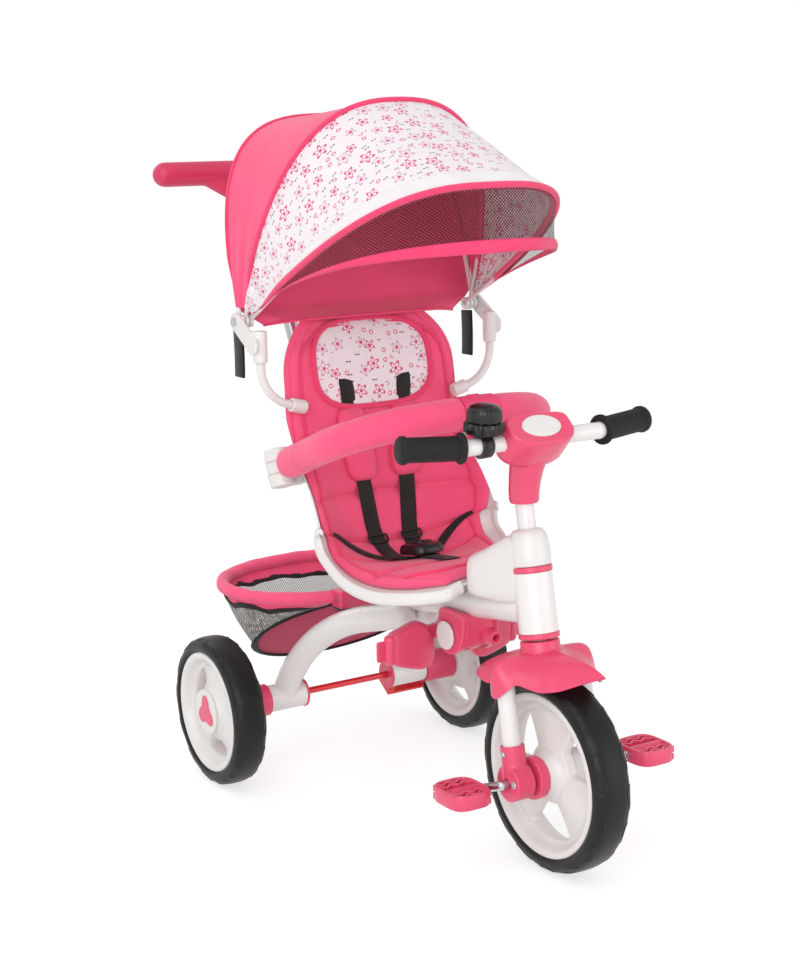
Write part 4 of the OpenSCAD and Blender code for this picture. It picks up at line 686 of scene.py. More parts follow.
# %% [markdown]
# Pedals
#
# Each pedal is a pink frame with a rounded outline and wavy treads across it. A solid block would hide the
# treads, so the pedal is built as on a tool drawing: an outer wall, a thin floor in the middle, a barrel for
# the crank pin and four wavy ribs on each face, all set out round the pin.

# %% Make the pedals
def band(path, width, low, high):
    way = np.asarray(path, float)
    ahead = unit(np.gradient(way, axis=0))
    out = np.stack([-ahead[:, 1], ahead[:, 0]], -1) * width / 2
    spots = []
    for edge, level in ((1, low), (1, high - 0.7), (0.6, high), (-0.6, high), (-1, high - 0.7), (-1, low)):
        spots.append(np.concatenate([way + edge * out, np.full((len(way), 1), level)], 1))
    return np.concatenate(spots), cells(6, len(way), True, False) + [[k * len(way) for k in range(6)],
            [k * len(way) + len(way) - 1 for k in range(6)][::-1]], np.zeros((6 * len(way), 2))


def make_pedal(side, pin, inner_y, body):
    long, wide = 34, 29
    turns = np.radians(np.arange(0, 360, 6))
    ring = np.stack([np.sign(np.cos(turns)) * np.abs(np.cos(turns)) ** 0.55 * (long - 2.2),
                     np.sign(np.sin(turns)) * np.abs(np.sin(turns)) ** 0.55 * (wide - 2.2)], -1)
    section = [(2.2, -8.8), (2.2, 8.8), (1.6, 9.8), (-1.6, 9.8), (-2.2, 8.8), (-2.2, -8.8), (-1.6, -9.8),
               (1.6, -9.8)]
    wall = sweep(np.concatenate([ring, np.zeros((len(ring), 1))], 1), section, True, (0, 0, 1))
    floor = np.concatenate([np.concatenate([ring * 0.98, np.full((len(ring), 1), h)], 1)
                            for h in (-1.5, 1.5)])
    n = len(ring)
    parts = [wall, (floor, [list(range(n))[::-1], list(range(n, 2 * n))], np.zeros((2 * n, 2)))]
    parts.append(turned([(8.6, -wide + 1), (9.2, -wide + 4), (9.2, wide - 4), (8.6, wide - 1)], (0, 0, 0),
                        (0, 1, 0), 28, False))
    ways = np.linspace(-wide + 4, wide - 4, 25)
    for x in (-25, -15.5, 15.5, 25):
        wave = np.stack([x + 2.6 * np.sin(ways * 2 * np.pi / 19), ways], -1)
        for face in (1, -1):
            rib, shape, flat = band(wave, 3.4, 1.0, 9.3)
            parts.append((rib * (1, 1, face), shape if face > 0 else [f[::-1] for f in shape], flat))
    points, faces, flat = joined(*parts)
    middle = np.array((pin[0], inner_y, pin[1]))
    return piece("pedal_tread_" + side, points + middle, faces, pink_plastic, body,
                 ["pedal_" + side], flat, 35)


throw, droop = 38, math.radians(22)
for side, sign in (("right", -1), ("left", 1)):
    pin = (front_axle[0] + sign * throw * math.cos(droop), front_axle[2] + sign * throw * math.sin(droop))
    made = make_pedal(side, pin, sign * 121, side + "_pedal")
print("pedals: 2,", len(made.data.polygons), "faces each")

# %% [markdown]
# Mudguard
#
# The mudguard is a thin pink skirt that flares from a collar on the steering axis: drawn out to a point in
# front, with a lobe down each fork leg and a rounder lobe behind it. So it is a grid round that axis. Two
# lists say how far its edge reaches and how low it hangs at each turn, the slope between collar and edge is a
# soft dome, and over the fork legs it is squarer, which raises the ridge that hides the crown. A second skin
# below gives it thickness.

# %% Make the mudguard
def smooth(values, share):
    v = np.asarray(values, float)
    spot = np.clip(np.asarray(share, float), 0, 1) * (len(v) - 1)
    i = np.minimum(np.floor(spot).astype(int), len(v) - 2)
    x = spot - i
    a, b, c, d = v[np.maximum(i - 1, 0)], v[i], v[i + 1], v[np.minimum(i + 2, len(v) - 1)]
    return b + 0.5 * x * (c - a + x * (2 * a - 5 * b + 4 * c - d + x * (3 * (b - c) + d - a)))


rake = math.radians(10)


def on_fork(points):
    p = np.asarray(points, float)
    return np.stack([front_axle[0] + p[..., 0] * math.cos(rake) - p[..., 2] * math.sin(rake), p[..., 1],
                     front_axle[2] + p[..., 0] * math.sin(rake) + p[..., 2] * math.cos(rake)], -1)


leaf_turn = [0, 9, 23, 41, 55, 68, 80, 90, 100, 109, 121, 137, 155, 180]
leaf_reach = [131, 102, 82, 71, 67, 67.5, 76, 80, 77.5, 69.5, 74, 88, 98, 103]
leaf_low = [132, 125, 117, 116, 122, 128, 117, 109, 115, 127, 125, 133, 138, 140]


def round_edge(values, turn):
    fine = evened(np.interp(np.arange(0, 181, 1.5), leaf_turn, values), 6)
    return np.interp(np.abs(turn), np.arange(0, 181, 1.5), fine)


def leaf(turn, u, inset):
    boxy = np.exp(-((np.abs(turn) - 90) / 14) ** 2)
    power = 2.4 + 3.0 * boxy
    dome = np.cos(np.pi / 2 * u), np.sin(np.pi / 2 * u)
    straight = 0.55 * (1 - boxy)
    out = (1 - straight) * squared_off(power, dome[1]) + straight * u
    down = (1 - straight) * (1 - squared_off(power, dome[0])) + straight * u
    top = 162 - 1.5 * boxy
    r = 20 + (round_edge(leaf_reach, turn) - inset - 20) * out
    s = top - (top - round_edge(leaf_low, turn)) * down - inset * (1 - u)
    a = np.radians(turn)
    return np.stack([r * np.cos(a), r * np.sin(a), s], -1)


turn, u = np.meshgrid(np.arange(-180, 180, 2.5), np.linspace(0, 1, 27) ** 0.8, indexing="ij")
rows, cols = turn.shape
skins = np.concatenate([on_fork(leaf(turn, u, k)).reshape(-1, 3) for k in (0, 3)])
top_faces = cells(rows, cols, True)
shell = top_faces + [[k + rows * cols for k in face][::-1] for face in top_faces]
for k in (0, cols - 1):
    edge = [i * cols + k for i in range(rows)]
    for here, ahead in zip(edge, edge[1:] + edge[:1]):
        shell.append([here, ahead, ahead + rows * cols, here + rows * cols])
steer_up = (-math.sin(rake), 0, math.cos(rake))
collar = turned([(14, -16), (33, -16), (28.6, -9.2), (27, -6.5), (26, -2.5), (25.8, 4.2), (25.2, 5.2),
                 (24, 5.5), (14, 5.5)], on_fork((0, 0, 168)), steer_up, 56)
mudguard = shaped("mudguard_leaf", joined((skins, shell, np.zeros((len(skins), 2))), collar), pink_plastic,
                  "steering", ["mudguard"], 50)
print("mudguard:", len(mudguard.data.polygons), "faces")

# %% [markdown]
# Screws of the fork ends
#
# Two steel screws hold each fork leg in its pink end. From the outside each is a low domed head. It is turned
# from a short profile, with a round dip in the middle of the head.

# %% Make the screws
def screw(name, centre, axle, radius, body):
    head = turned([(radius, -1.0), (radius, 0.6), (radius * 0.9, 1.3), (radius * 0.6, 1.8),
                   (radius * 0.35, 1.9), (radius * 0.3, 0.9), (radius * 0.1, 0.8)], centre, axle, 28, False)
    return shaped(name, head, steel, body)


for side, y in (("right", -1), ("left", 1)):
    for k, (ahead, out, high) in enumerate(((0, 77.0, 38), (15, 75.2, 0))):
        screw(f"fork_screw_{side}_{k}", on_fork((ahead, y * out, high)), (0, y, 0), 4.6, "steering")
print("fork screws: 4")

# %% [markdown]
# Handlebar cover
#
# The pink cover clamps the bar to the stem: a box with a soft top edge whose front hangs down in a round bib
# for the badge, on a stem that tapers down to the steering tube. It is a loft: one outline, square above and
# round below, is set at several depths behind the badge and drawn in a little at the front and back. The stem
# is a swept circle that grows towards the bar.

# %% Make the handlebar cover
bar_mid = np.array((497.4523, 0.0, 561.5146))
badge_out, badge_down = np.array((0.669131, 0, 0.743145)), np.array((0.743145, 0, -0.669131))
sideways = np.array((0.0, 1.0, 0.0))


def bib(turns, scale):
    low = np.sin(turns) > 0
    power = np.where(low, 2.4, 5.0)
    y = 50 * squared_off(power, np.cos(turns))
    q = np.where(low, 29, 22) * squared_off(power, np.sin(turns))
    return bar_mid + scale * (y[:, None] * sideways + q[:, None] * badge_down)


turns = np.radians(np.arange(0, 360, 6))
depths = [(-25, 0.55), (-24.5, 0.82), (-22, 0.93), (-16, 0.99), (0, 1.0), (16, 1.0), (22, 0.985), (25, 0.95),
          (26.2, 0.90), (26.0, 0.84), (25.4, 0.80), (25.4, 0.4)]
block = stacked([bib(turns, scale) + depth * badge_out for depth, scale in depths])
stem_way = [on_fork((x, 0, s)) for x, s in ((0, 352), (0.5, 356), (2, 366), (7, 382), (14, 398), (22, 412),
                                            (30, 424))]
stem = sweep(stem_way, disc(20, 32), upward=(0, 1, 0), swell=[0.9, 0.98, 1.0, 1.04, 1.12, 1.2, 1.24])
gusset = [np.array([on_fork((x, y, s)) for x, y in ((x0, -w), (x1, -w * 0.6), (x1, w * 0.6), (x0, w))])
          for s, x0, x1, w in ((360, 14, 20, 5), (376, 18, 26, 8), (392, 24, 34, 11), (406, 32, 42, 13))]
bar_cover = shaped("bar_cover_moulding", joined(block, stem, stacked(gusset)), pink_plastic,
                   "steering", ["handlebar_cover"], 40)
print("handlebar cover:", len(bar_cover.data.polygons), "faces")

# %% [markdown]
# Badge plate
#
# A white oval plate sits on the bib and stays bare. Its face is flat, so that a sticker or a small plate can
# go on it, and only its edge is rounded. It is a stack of ellipses.

# %% Make the badge plate
levels = [(1.0, 24.6), (1.0, 26.6), (0.985, 27.4), (0.95, 27.9), (0.91, 28.0), (0.5, 28.0)]
oval = 29 * np.cos(turns)[:, None] * sideways + 17 * np.sin(turns)[:, None] * badge_down
plate = np.concatenate([bar_mid + h * badge_out + k * oval for k, h in levels])
badge = piece("badge_oval", plate, capped(len(levels), len(turns), False), white_plastic,
              "steering", ["badge_plate"])
print("badge plate:", len(badge.data.polygons), "faces")

# %% [markdown]
# Grips
#
# The black grips have a flange at the inner end that keeps the hand off the bar, fine rings along the middle
# and a swollen end. All of that is one profile turned about the swept back end of the bar.

# %% Make the grips
profile = [(11.6, 4), (18.6, 4), (20, 5.4), (20, 8), (18.6, 9.4), (16, 10.4), (15.4, 12)]
for k in range(16):
    profile += [(15.4, 14 + 4 * k), (15.9, 14.9 + 4 * k), (15.9, 16.1 + 4 * k), (15.4, 17 + 4 * k)]
profile += [(15.6, 79), (17.2, 80.5), (18, 83.5), (17.5, 87), (15, 89.4), (9, 90.4), (2, 90.6)]
grip_parts = []
for y in (-1, 1):
    swept, rise = math.radians(10), math.radians(3)
    axle = (-math.sin(swept) * math.cos(rise), y * math.cos(swept) * math.cos(rise), math.sin(rise))
    grip_parts.append(turned(profile, bar_mid + (0, y * 104, 0), axle, 40, False))
grips = shaped("grip_pair", joined(*grip_parts), grip_rubber, "steering", ["grips"], 50)
print("grips: 2,", len(grips.data.polygons), "faces")

# %% [markdown]
# Bell
#
# The bell has a black dome with fine flutes round its side, a clamp on the bar and a ring with finger
# scallops that twists to ring it. The dome and the ring are grids round the bell's own axis whose radius
# changes with the angle, which gives flutes and scallops without any cutting.

# %% Make the bell
bell_at = bar_mid + (0, -77, 0)
bell_up = np.array((math.sin(math.radians(5)), 0, math.cos(math.radians(5))))
bell_side = np.array((bell_up[2], 0, -bell_up[0]))


def fluted(rows, count, deep, steps=144):
    angle = np.arange(steps) * 2 * np.pi / steps
    around = np.cos(angle)[:, None] * bell_side + np.sin(angle)[:, None] * sideways
    spots = []
    for radius, height, share in rows:
        r = radius + share * deep * np.cos(count * angle)
        spots.append(bell_at + height * bell_up + r[:, None] * around)
    return stacked(spots)


dome = fluted([(17, 31.2, 0), (21, 31.2, 0), (21.6, 32, 0.3), (21.8, 34, 1), (21.8, 43, 1), (21.3, 46, 0.5),
               (19.8, 49, 0), (16.5, 51.6, 0), (11, 53, 0), (4, 53.4, 0)], 36, 0.35)
seat_disc = fluted([(9, 8, 0), (9, 13, 0), (17, 14.5, 0), (20, 15.2, 0), (20.6, 16, 0), (19.5, 16.7, 0),
                    (6, 16.8, 0)], 6, 0)
clamp = turned([(11.2, -8), (14.8, -8), (15.8, -6.8), (15.8, 6.8), (14.8, 8), (11.2, 8)], bell_at, (0, 1, 0),
               40)
shaped("bell_dome", joined(dome, seat_disc, clamp), black_plastic, "steering", ["bell_body"],
       50)
ring = fluted([(21, 17.4, 0), (23.4, 17.4, 1), (24.3, 18.4, 1), (24.4, 24, 1), (24.3, 29.6, 1),
               (23.4, 30.6, 1), (21, 30.6, 0)], 12, 1.5)
bell_ring = shaped("bell_twist_ring", ring, black_plastic, "bell", ["bell_ring"], 50)
print("bell: dome, clamp and ring,", len(bell_ring.data.polygons), "faces on the ring")

# %% [markdown]
# Nose and neck
#
# Ahead of the seat a white nose runs up to the steering tube and ends in a round neck collar. The nose is a
# loft of soft cornered boxes that narrow and rise towards the front. The collar is turned about the raked
# steering axis, so the two simply meet inside one another.

# %% Make the nose and neck
sections = [(403, 38, 346, 396), (405.5, 43, 341, 401), (409, 45, 340, 403.5), (422, 43, 340, 409),
            (438, 39.5, 340, 418), (452, 36, 340, 427), (464, 33, 340.5, 433.5), (475, 30.5, 342, 436.5),
            (485, 28, 345, 435), (494, 24, 349, 428)]
turns = np.radians(np.arange(0, 360, 7.5))
nose = []
for x, half, low, high in sections:
    y = half * squared_off(4.2, np.cos(turns))
    z = (low + high) / 2 + (high - low) / 2 * squared_off(4.2, np.sin(turns))
    nose.append(np.stack([np.full_like(y, x), y, z], -1))
neck = turned([(12.6, 270.5), (25.6, 270.5), (26.6, 272), (26.8, 284), (26.4, 296), (25, 306), (22.4, 313),
               (18.5, 317), (12.6, 318)], on_fork((0, 0, 0)), steer_up, 56)
nose_cover = shaped("nose_moulding", joined(stacked(nose), neck), white_plastic, "frame",
                    ["neck_cover"], 60)
print("nose and neck:", len(nose_cover.data.polygons), "faces")

# %% [markdown]
# Seat shell
#
# The seat is a white bucket: a pan, a round corner, a back that leans, and wings at the hips. All soft pieces
# lie on it, so first comes one function that gives a point from a share along the seat, a share across it and
# a height above the shell. The shell itself is two such grids, five millimetres apart, closed round the edge
# and subdivided so that the rim is rolled.

# %% Make the seat shell
pan_heading, back_heading = math.radians(190.5), math.radians(101)
pan_long, bend_r, back_long = 194.0, 75.0, 317.0
seat_wide, front_x, front_z = 148, 402, 366
bend_long = bend_r * (pan_heading - back_heading)
seat_long = pan_long + bend_long + back_long
half_share = [0.5, 0.76, 0.9, 0.97, 1, 1, 0.99, 0.97, 0.95, 0.94, 0.93, 0.92, 0.9]
wing_share = [-0.16, -0.14, -0.06, 0.2, 0.72, 1, 0.95, 0.72, 0.34, 0.2, 0.25, 0.27, 0.2]


def seat_half(f):
    return seat_wide * smooth(half_share, f) * np.sqrt(1 - 0.72 * (np.maximum(0, f - 0.85) / 0.15) ** 2)


def on_seat(f, t, h):
    f, t, h = np.broadcast_arrays(np.asarray(f, float), np.asarray(t, float), np.asarray(h, float))
    d = f * seat_long
    heading = np.clip(pan_heading - (d - pan_long) / bend_r, back_heading, pan_heading)
    up_x, up_z = np.sin(heading), -np.cos(heading)
    pan_x, pan_z = math.cos(pan_heading), math.sin(pan_heading)
    mid_x = front_x + pan_long * pan_x + bend_r * math.sin(pan_heading)
    mid_z = front_z + pan_long * pan_z - bend_r * math.cos(pan_heading)
    far = np.maximum(0, d - pan_long - bend_long)
    x = np.where(d < pan_long, front_x + d * pan_x, mid_x - bend_r * up_x + far * math.cos(back_heading))
    z = np.where(d < pan_long, front_z + d * pan_z, mid_z - bend_r * up_z + far * math.sin(back_heading))
    lift = 85 * smooth(wing_share, f) * np.abs(t) ** 3 + h
    return np.stack([x + up_x * lift, t * seat_half(f), z + up_z * lift], -1)


def two_skins(top, bottom):
    rows, cols = top.shape[:2]
    upper = cells(rows, cols)
    rim = [i * cols for i in range(rows)] + [(rows - 1) * cols + j for j in range(1, cols)]
    rim += [i * cols + cols - 1 for i in range(rows - 2, -1, -1)] + list(range(cols - 2, 0, -1))
    far = rows * cols
    faces = [face[::-1] for face in upper] + [[k + far for k in face] for face in upper]
    faces += [[here, ahead, ahead + far, here + far] for here, ahead in zip(rim, rim[1:] + rim[:1])]
    return np.concatenate([top.reshape(-1, 3), bottom.reshape(-1, 3)]), faces


f, t = np.meshgrid(np.linspace(0, 1, 57), np.linspace(-1, 1, 33), indexing="ij")
points, faces = two_skins(on_seat(f, t, 0), on_seat(f, t, -5))
shell = piece("seat_bucket", points, faces, white_plastic, "frame", ["seat_shell"])
worked(shell, "SUBSURF", levels=1, render_levels=1)
for name, side in (("right", -1), ("left", 1)):
    f = np.concatenate([np.linspace(0.54, 0.03, 60), np.full(14, 0.004)])
    t = side * np.concatenate([np.full(60, 1.0), np.linspace(0.96, 0.64, 14)])
    f, t = evened(f, 3), evened(t, 3)
    middle, over = on_seat(f, t, -5.5), on_seat(f, t, 0.0)
    grow = 0.04 + 0.96 * np.sin(np.pi / 2 * np.minimum(1, np.arange(74) / 26))
    shaped("seat_rim_" + name, sweep(middle, disc(4.6, 16, 9.0), upward=unit(over - middle), swell=grow),
           white_plastic, "frame")
print("seat shell:", round(seat_long), "mm along the middle,", len(shell.data.polygons), "faces")

# %% [markdown]
# Seat cushion
#
# The cushion is a sewn pad: crowned in the middle, thin at its edge, and pulled down along five cross seams,
# with a cord of piping set in from the edge. On the pan it leaves the white rim of the shell showing, and up
# the back it wraps right to the edge. A cloth simulation could blow it up from a flat pattern, but a pad this
# thin would slide off its shell, so the crown, the drawn down seams and the small puckers beside them are
# written as heights over the shell instead.

# %% Make the seat cushion
def eased(value, low, high):
    x = np.clip((np.asarray(value, float) - low) / (high - low), 0, 1)
    return x * x * (3 - 2 * x)


def pad_half(f):
    end = np.sqrt(np.clip(1 - (np.maximum(0, 0.10 - f) / 0.10) ** 2 * 0.35, 0, 1))
    return (0.87 + 0.125 * eased(f, 0.42, 0.56)) * end


def drawn(v, power=5):
    return np.sqrt(np.clip(1 - np.abs(v) ** power, 0, 1))


pad_low, pad_high = 0.022, 0.985
seams = (0.17, 0.31, 0.44, 0.57, 0.70)


def seam_line(k, u):
    return seams[k] + 0.018 * u ** 2 * (1 if k < 3 else -0.3)


def pad_height(f, u, sewn=True):
    s = (f - pad_low) / (pad_high - pad_low)
    height = 6.6 + 15 * drawn(u) * drawn(2 * s - 1)
    if sewn:
        fall = 0
        for k in range(len(seams)):
            off = (f - seam_line(k, u)) * seat_long
            pucker = 1.2 * np.exp(-(off / 20) ** 2) * np.cos(u * 46 + k * 2) ** 2
            fall = np.maximum(fall, 7.5 * np.exp(-(off / 7.0) ** 2) + pucker)
        height = height - fall * drawn(u, 8)
        height = height - 3.2 * np.exp(-((np.abs(u) - 0.885) * 60) ** 2) * (s > 0.02)
    return height


f, u = np.meshgrid(np.linspace(pad_low, pad_high, 171), np.sin(np.linspace(-np.pi / 2, np.pi / 2, 65)) * 0.35
                   + np.linspace(-1, 1, 65) * 0.65, indexing="ij")
t = u * pad_half(f)
rounding = 6.5 * (1 - drawn(u, 26)) + 6.5 * (1 - drawn(2 * (f - pad_low) / (pad_high - pad_low) - 1, 60))
top = on_seat(f, t, np.maximum(pad_height(f, u) - rounding, 2.2))
bottom = on_seat(f, t * 0.995, 1.0)
points, faces = two_skins(top, bottom)
flat = np.stack([t * seat_half(f), f * seat_long], -1).reshape(-1, 2)
cushion = piece("seat_pad", points, faces, pink_cloth, "frame", ["seat_cushion"],
                np.concatenate([flat, flat]))
print("cushion:", len(faces), "faces,", len(seams), "cross seams")

# %% [markdown]
# Piping and stitching
#
# Piping is a cord in a strip of cloth, sewn into a seam. It is a thin swept circle that follows a line on the
# cushion. Stitches are short runs of thread, so a row of small beads along the cross seams gives the sewn
# look up close.

# %% Sew the piping and the stitches
def on_pad(f, u, over):
    return on_seat(f, u * pad_half(f), pad_height(f, u) + over)


def cord(name, path, radius, finish, body, loop=False, sides=10, upward=None):
    return shaped(name, sweep(path, disc(radius, sides), loop, upward), finish, body)


arcs = []
for f, u, first in ((0.885, -0.555, -90), (0.885, 0.555, 0), (0.122, 0.555, 90), (0.122, -0.555, 180)):
    a = np.radians(first + np.linspace(0, 90, 24))
    arcs.append(np.stack([f + 0.07 * np.cos(a), u + 0.33 * np.sin(a)], -1))
corners = np.concatenate(arcs + [arcs[0][:1]])
gone = run_along(corners * (seat_long, 135))
stops = np.linspace(0, gone[-1], 261)[:-1]
outline = np.stack([np.interp(stops, gone, corners[:, 0]), np.interp(stops, gone, corners[:, 1])], -1)
cord("pad_piping", on_pad(outline[:, 0], outline[:, 1], 1.6), 2.6, pink_piping, "frame", True,
     upward=(0, 1, 0.3))
stitch_parts = []
for k in range(len(seams)):
    for u in np.arange(-0.84, 0.841, 0.042):
        pair = np.array([u - 0.013, u - 0.006, u + 0.006, u + 0.013])
        way = on_pad(seam_line(k, pair) + 0.004, pair, np.array([-0.2, 0.5, 0.5, -0.2]))
        stitch_parts.append(sweep(way, disc(0.7, 6), upward=(0, 0.2, 1)))
shaped("pad_stitches", joined(*stitch_parts), pink_piping, "frame")
f = np.concatenate([np.linspace(0.70, 0.992, 50), np.full(41, 0.997), np.linspace(0.992, 0.70, 50)])
t = np.concatenate([np.full(50, -1.0), np.linspace(-0.97, 0.97, 41), np.full(50, 1.0)])
f, t = evened(f, 4), evened(t, 4)
points, faces, flat = sweep(on_seat(f, t, -1.0), disc(5.2, 14),
                            upward=unit(on_seat(f, t, 9.0) - on_seat(f, t, -1.0)),
                            swell=np.minimum(1, 0.35 + np.minimum(np.arange(141), np.arange(141)[::-1]) / 14))
piece("pad_edge_roll", points, faces, pink_cloth, "frame", flat=flat)
print("piping:", len(outline), "points round; stitches:", len(stitch_parts))

# %% [markdown]
# Head panel
#
# Behind the head the pad has a second, softer panel in the printed cloth, edged with thick pink piping. It is
# a rounded outline filled with rings that shrink to the middle and rise like a small pillow, laid on the
# cushion.

# %% Make the head panel
turns = np.radians(np.arange(0, 360, 4))
panel_mid, panel_half_f, panel_half_t = 0.868, 0.102, 97.0


def panel_spot(scale, over):
    f = panel_mid + scale * panel_half_f * squared_off(3.4, np.sin(turns))
    narrow = 1 - 0.10 * np.sin(turns) * (np.sin(turns) > 0)
    y = scale * panel_half_t * squared_off(3.0, np.cos(turns)) * narrow
    t = y / seat_half(f)
    u = t / pad_half(f)
    return on_seat(f, t, pad_height(f, u, False) + over), np.stack([y, f * seat_long], -1)


rings = [(0.97, -2.5), (1.0, -1.5), (0.985, 1.2), (0.95, 2.9), (0.88, 4.4), (0.75, 5.8), (0.55, 6.9),
         (0.35, 7.4), (0.15, 7.6), (0.02, 7.6)]
spots, flats = zip(*[panel_spot(scale, over) for scale, over in rings])
points, faces, _ = stacked(spots)
panel = piece("head_panel", points, faces, print_cloth, "frame", flat=np.concatenate(flats))
cord("head_piping", panel_spot(1.0, 2.2)[0], 4.2, pink_piping, "frame", True, 12, (1, 0, 0.2))
print("head panel:", round(2 * panel_half_t), "x", round(2 * panel_half_f * seat_long), "mm")

# %% [markdown]
# Harness
#
# Black webbing comes out of the head panel's foot, runs under two pink shoulder pads and down to the buckle,
# and two lap straps and a crotch strap meet it there. Webbing is thin and hard to simulate, so each strap is
# a ribbon of points that lies on the crown of the cushion, with its edges turned down a touch.

# %% Make the harness straps
def strap(start, end, half, over, steps=30, along_seat=True, sag=0.0):
    share = np.linspace(0, 1, steps)
    f = start[0] + (end[0] - start[0]) * share
    t = start[1] + (end[1] - start[1]) * share
    rows = []
    for edge, level in ((-1, 0.0), (-0.9, 1.3), (0, 1.7), (0.9, 1.3), (1, 0.0), (0, -0.4)):
        ff, tt = (f, t + edge * half) if along_seat else (f + edge * half, t)
        crown = pad_height(f, t / pad_half(f), False) + 0.5
        rows.append(on_seat(ff, tt, crown + over * share + level + sag * np.sin(np.pi * share)))
    points = np.stack(rows, 1)
    wide = 2 * half * (seat_wide if along_seat else seat_long)
    run = share * np.linalg.norm(points[-1, 2] - points[0, 2])
    flat = np.stack(np.meshgrid(run, np.array([-1, -0.9, 0, 0.9, 1, 0]) * wide / 2, indexing="ij"), -1)
    return points.reshape(-1, 3), capped(steps, 6), flat.reshape(-1, 2)


straps, buckle_f, slot_f, buckle_t, slot_t = [], 0.27, 0.775, 0.12, 0.33
for side in (-1, 1):
    straps.append(strap((slot_f, side * slot_t), (buckle_f, side * buckle_t), 0.088, 0.6, 60))
    straps.append(strap((0.862, side * 0.366), (0.752, side * 0.3204), 0.088, -4.5, 24, True, 8.0))
    straps.append(strap((0.47, side * 0.80), (0.29, side * 0.13), 0.0207, 2.4, 40, False))
straps.append(strap((0.14, 0.0), (0.25, 0.0), 0.088, 2.0, 20))
points, faces, flat = joined(*straps)
piece("harness_webbing", points, faces, black_webbing, "frame", ["harness_straps"], flat)
print("harness: 5 straps in 7 runs,", len(faces), "faces")

# %% [markdown]
# Shoulder pads
#
# Each shoulder pad is a soft sleeve round its strap, with rounded ends and piped edges. It is a stack of
# outlines over the line of the strap, fuller in the middle, and a cord goes round its widest line.

# %% Make the shoulder pads
def strap_line(side, f):
    return side * (buckle_t + (f - buckle_f) / (slot_f - buckle_f) * (slot_t - buckle_t))


def shoulder_pad(side):
    f0, f1, half = 0.60, 0.765, 26.0
    turns = np.radians(np.arange(0, 360, 6))
    spots, flats = [], []
    for scale, rise in ((0.9, 2.0), (1.0, 4.2), (1.0, 7.0), (0.93, 10.6), (0.8, 13.0), (0.6, 14.4),
                        (0.35, 15.0), (0.05, 15.2)):
        f = (f0 + f1) / 2 + scale * (f1 - f0) / 2 * squared_off(4.5, np.sin(turns))
        line = strap_line(side, f)
        y = scale * half * squared_off(4.0, np.cos(turns))
        t = line + y / seat_wide
        spots.append(on_seat(f, t, pad_height(f, line / pad_half(f), False) + rise - 1.2))
        flats.append(np.stack([y, f * seat_long], -1))
    name = "left" if side > 0 else "right"
    points, faces, _ = stacked(spots)
    made = piece("shoulder_sleeve_" + name, points, faces, pink_cloth, "frame",
                 ["shoulder_pads"], np.concatenate(flats))
    cord("shoulder_piping_" + name, spots[1], 1.8, pink_piping, "frame", True, 8, (1, 0, 0.2))


for side in (-1, 1):
    shoulder_pad(side)
print("shoulder pads: 2")

# %% [markdown]
# Buckle
#
# The buckle is a black moulding, domed, with a round well for its button. It is a stack of outlines that
# start as a soft cornered box and turn into a circle at the well. The raised frame and the strap sliders are
# small swept loops on top.

# %% Make the buckle and the strap sliders
turns = np.radians(np.arange(0, 360, 10))
levels = ((0.90, 1, 27.9), (0.99, 1, 29.0), (1.0, 1, 33.0), (0.97, 1, 38.0), (0.88, 1, 41.6),
          (0.72, 0.8, 43.2), (0.5, 0.3, 43.6), (0.42, 0, 43.3), (0.405, 0, 42.4), (0.405, 0, 35.2))
rings = []
for scale, square, h in levels:
    x = scale * (square * 31 * squared_off(3.4, np.cos(turns)) + (1 - square) * 29 * np.cos(turns))
    y = scale * (square * 26 * squared_off(3.4, np.sin(turns)) + (1 - square) * 29 * np.sin(turns))
    rings.append(on_seat(buckle_f + x / seat_long, y / seat_wide, h))
points, faces, _ = stacked(rings)
piece("buckle_moulding", points, faces, black_plastic, "frame", ["buckle_body"], sharp=60)
loop = np.stack([15 * np.cos(turns), 15 * np.sin(turns)], -1)
frame_way = on_seat(buckle_f + loop[:, 0] / seat_long, loop[:, 1] / seat_wide, 44.0)
cord("buckle_frame", frame_way, 1.5, black_plastic, "frame", True, 8, (0.2, 0, 1))
for side in (-1, 1):
    f = 0.44 + 9 / seat_long * squared_off(5, np.sin(turns))
    line = strap_line(side, 0.44)
    t = line + 15.5 / seat_wide * squared_off(5, np.cos(turns))
    way = on_seat(f, t, pad_height(f, line / pad_half(f), False) + 3.0)
    cord("strap_slider_" + ("left" if side > 0 else "right"), way, 1.9, black_plastic,
         "frame", True, 8, (0.2, 0, 1))
print("buckle: body, frame and 2 sliders")

# %% [markdown]
# Guard rail
#
# The guard rail is a bent bar in a thick foam sleeve, split in the middle by its clip, and each half swings
# on a pin at the seat. The sleeve is a swept circle along a straight arm and a quarter turn. Its radius dips
# at the sewn seams and rounds over at the end, and a stitched ridge runs along its inner side. A white eye on
# the pin carries it.

# %% Make the guard rail
tilt = math.radians(20)
rail_x, rail_z, rail_side = 112, 487, 160


def in_rail(points):
    p = np.asarray(points, float)
    return np.stack([rail_x + p[..., 0] * math.cos(tilt) - p[..., 2] * math.sin(tilt), p[..., 1],
                     rail_z + p[..., 0] * math.sin(tilt) + p[..., 2] * math.cos(tilt)], -1)


def rail_way(side, offset=0.0, high=0.0, first=26.0):
    arm = [(x, side * (rail_side - offset), high) for x in np.linspace(first, 142, 48)]
    bend = [(142 + (130 - offset) * math.sin(a), side * (30 + (130 - offset) * math.cos(a)), high)
            for a in np.radians(np.linspace(2, 90, 60))]
    return np.array(arm + bend + [(272 - offset, side * 28.4, high)])


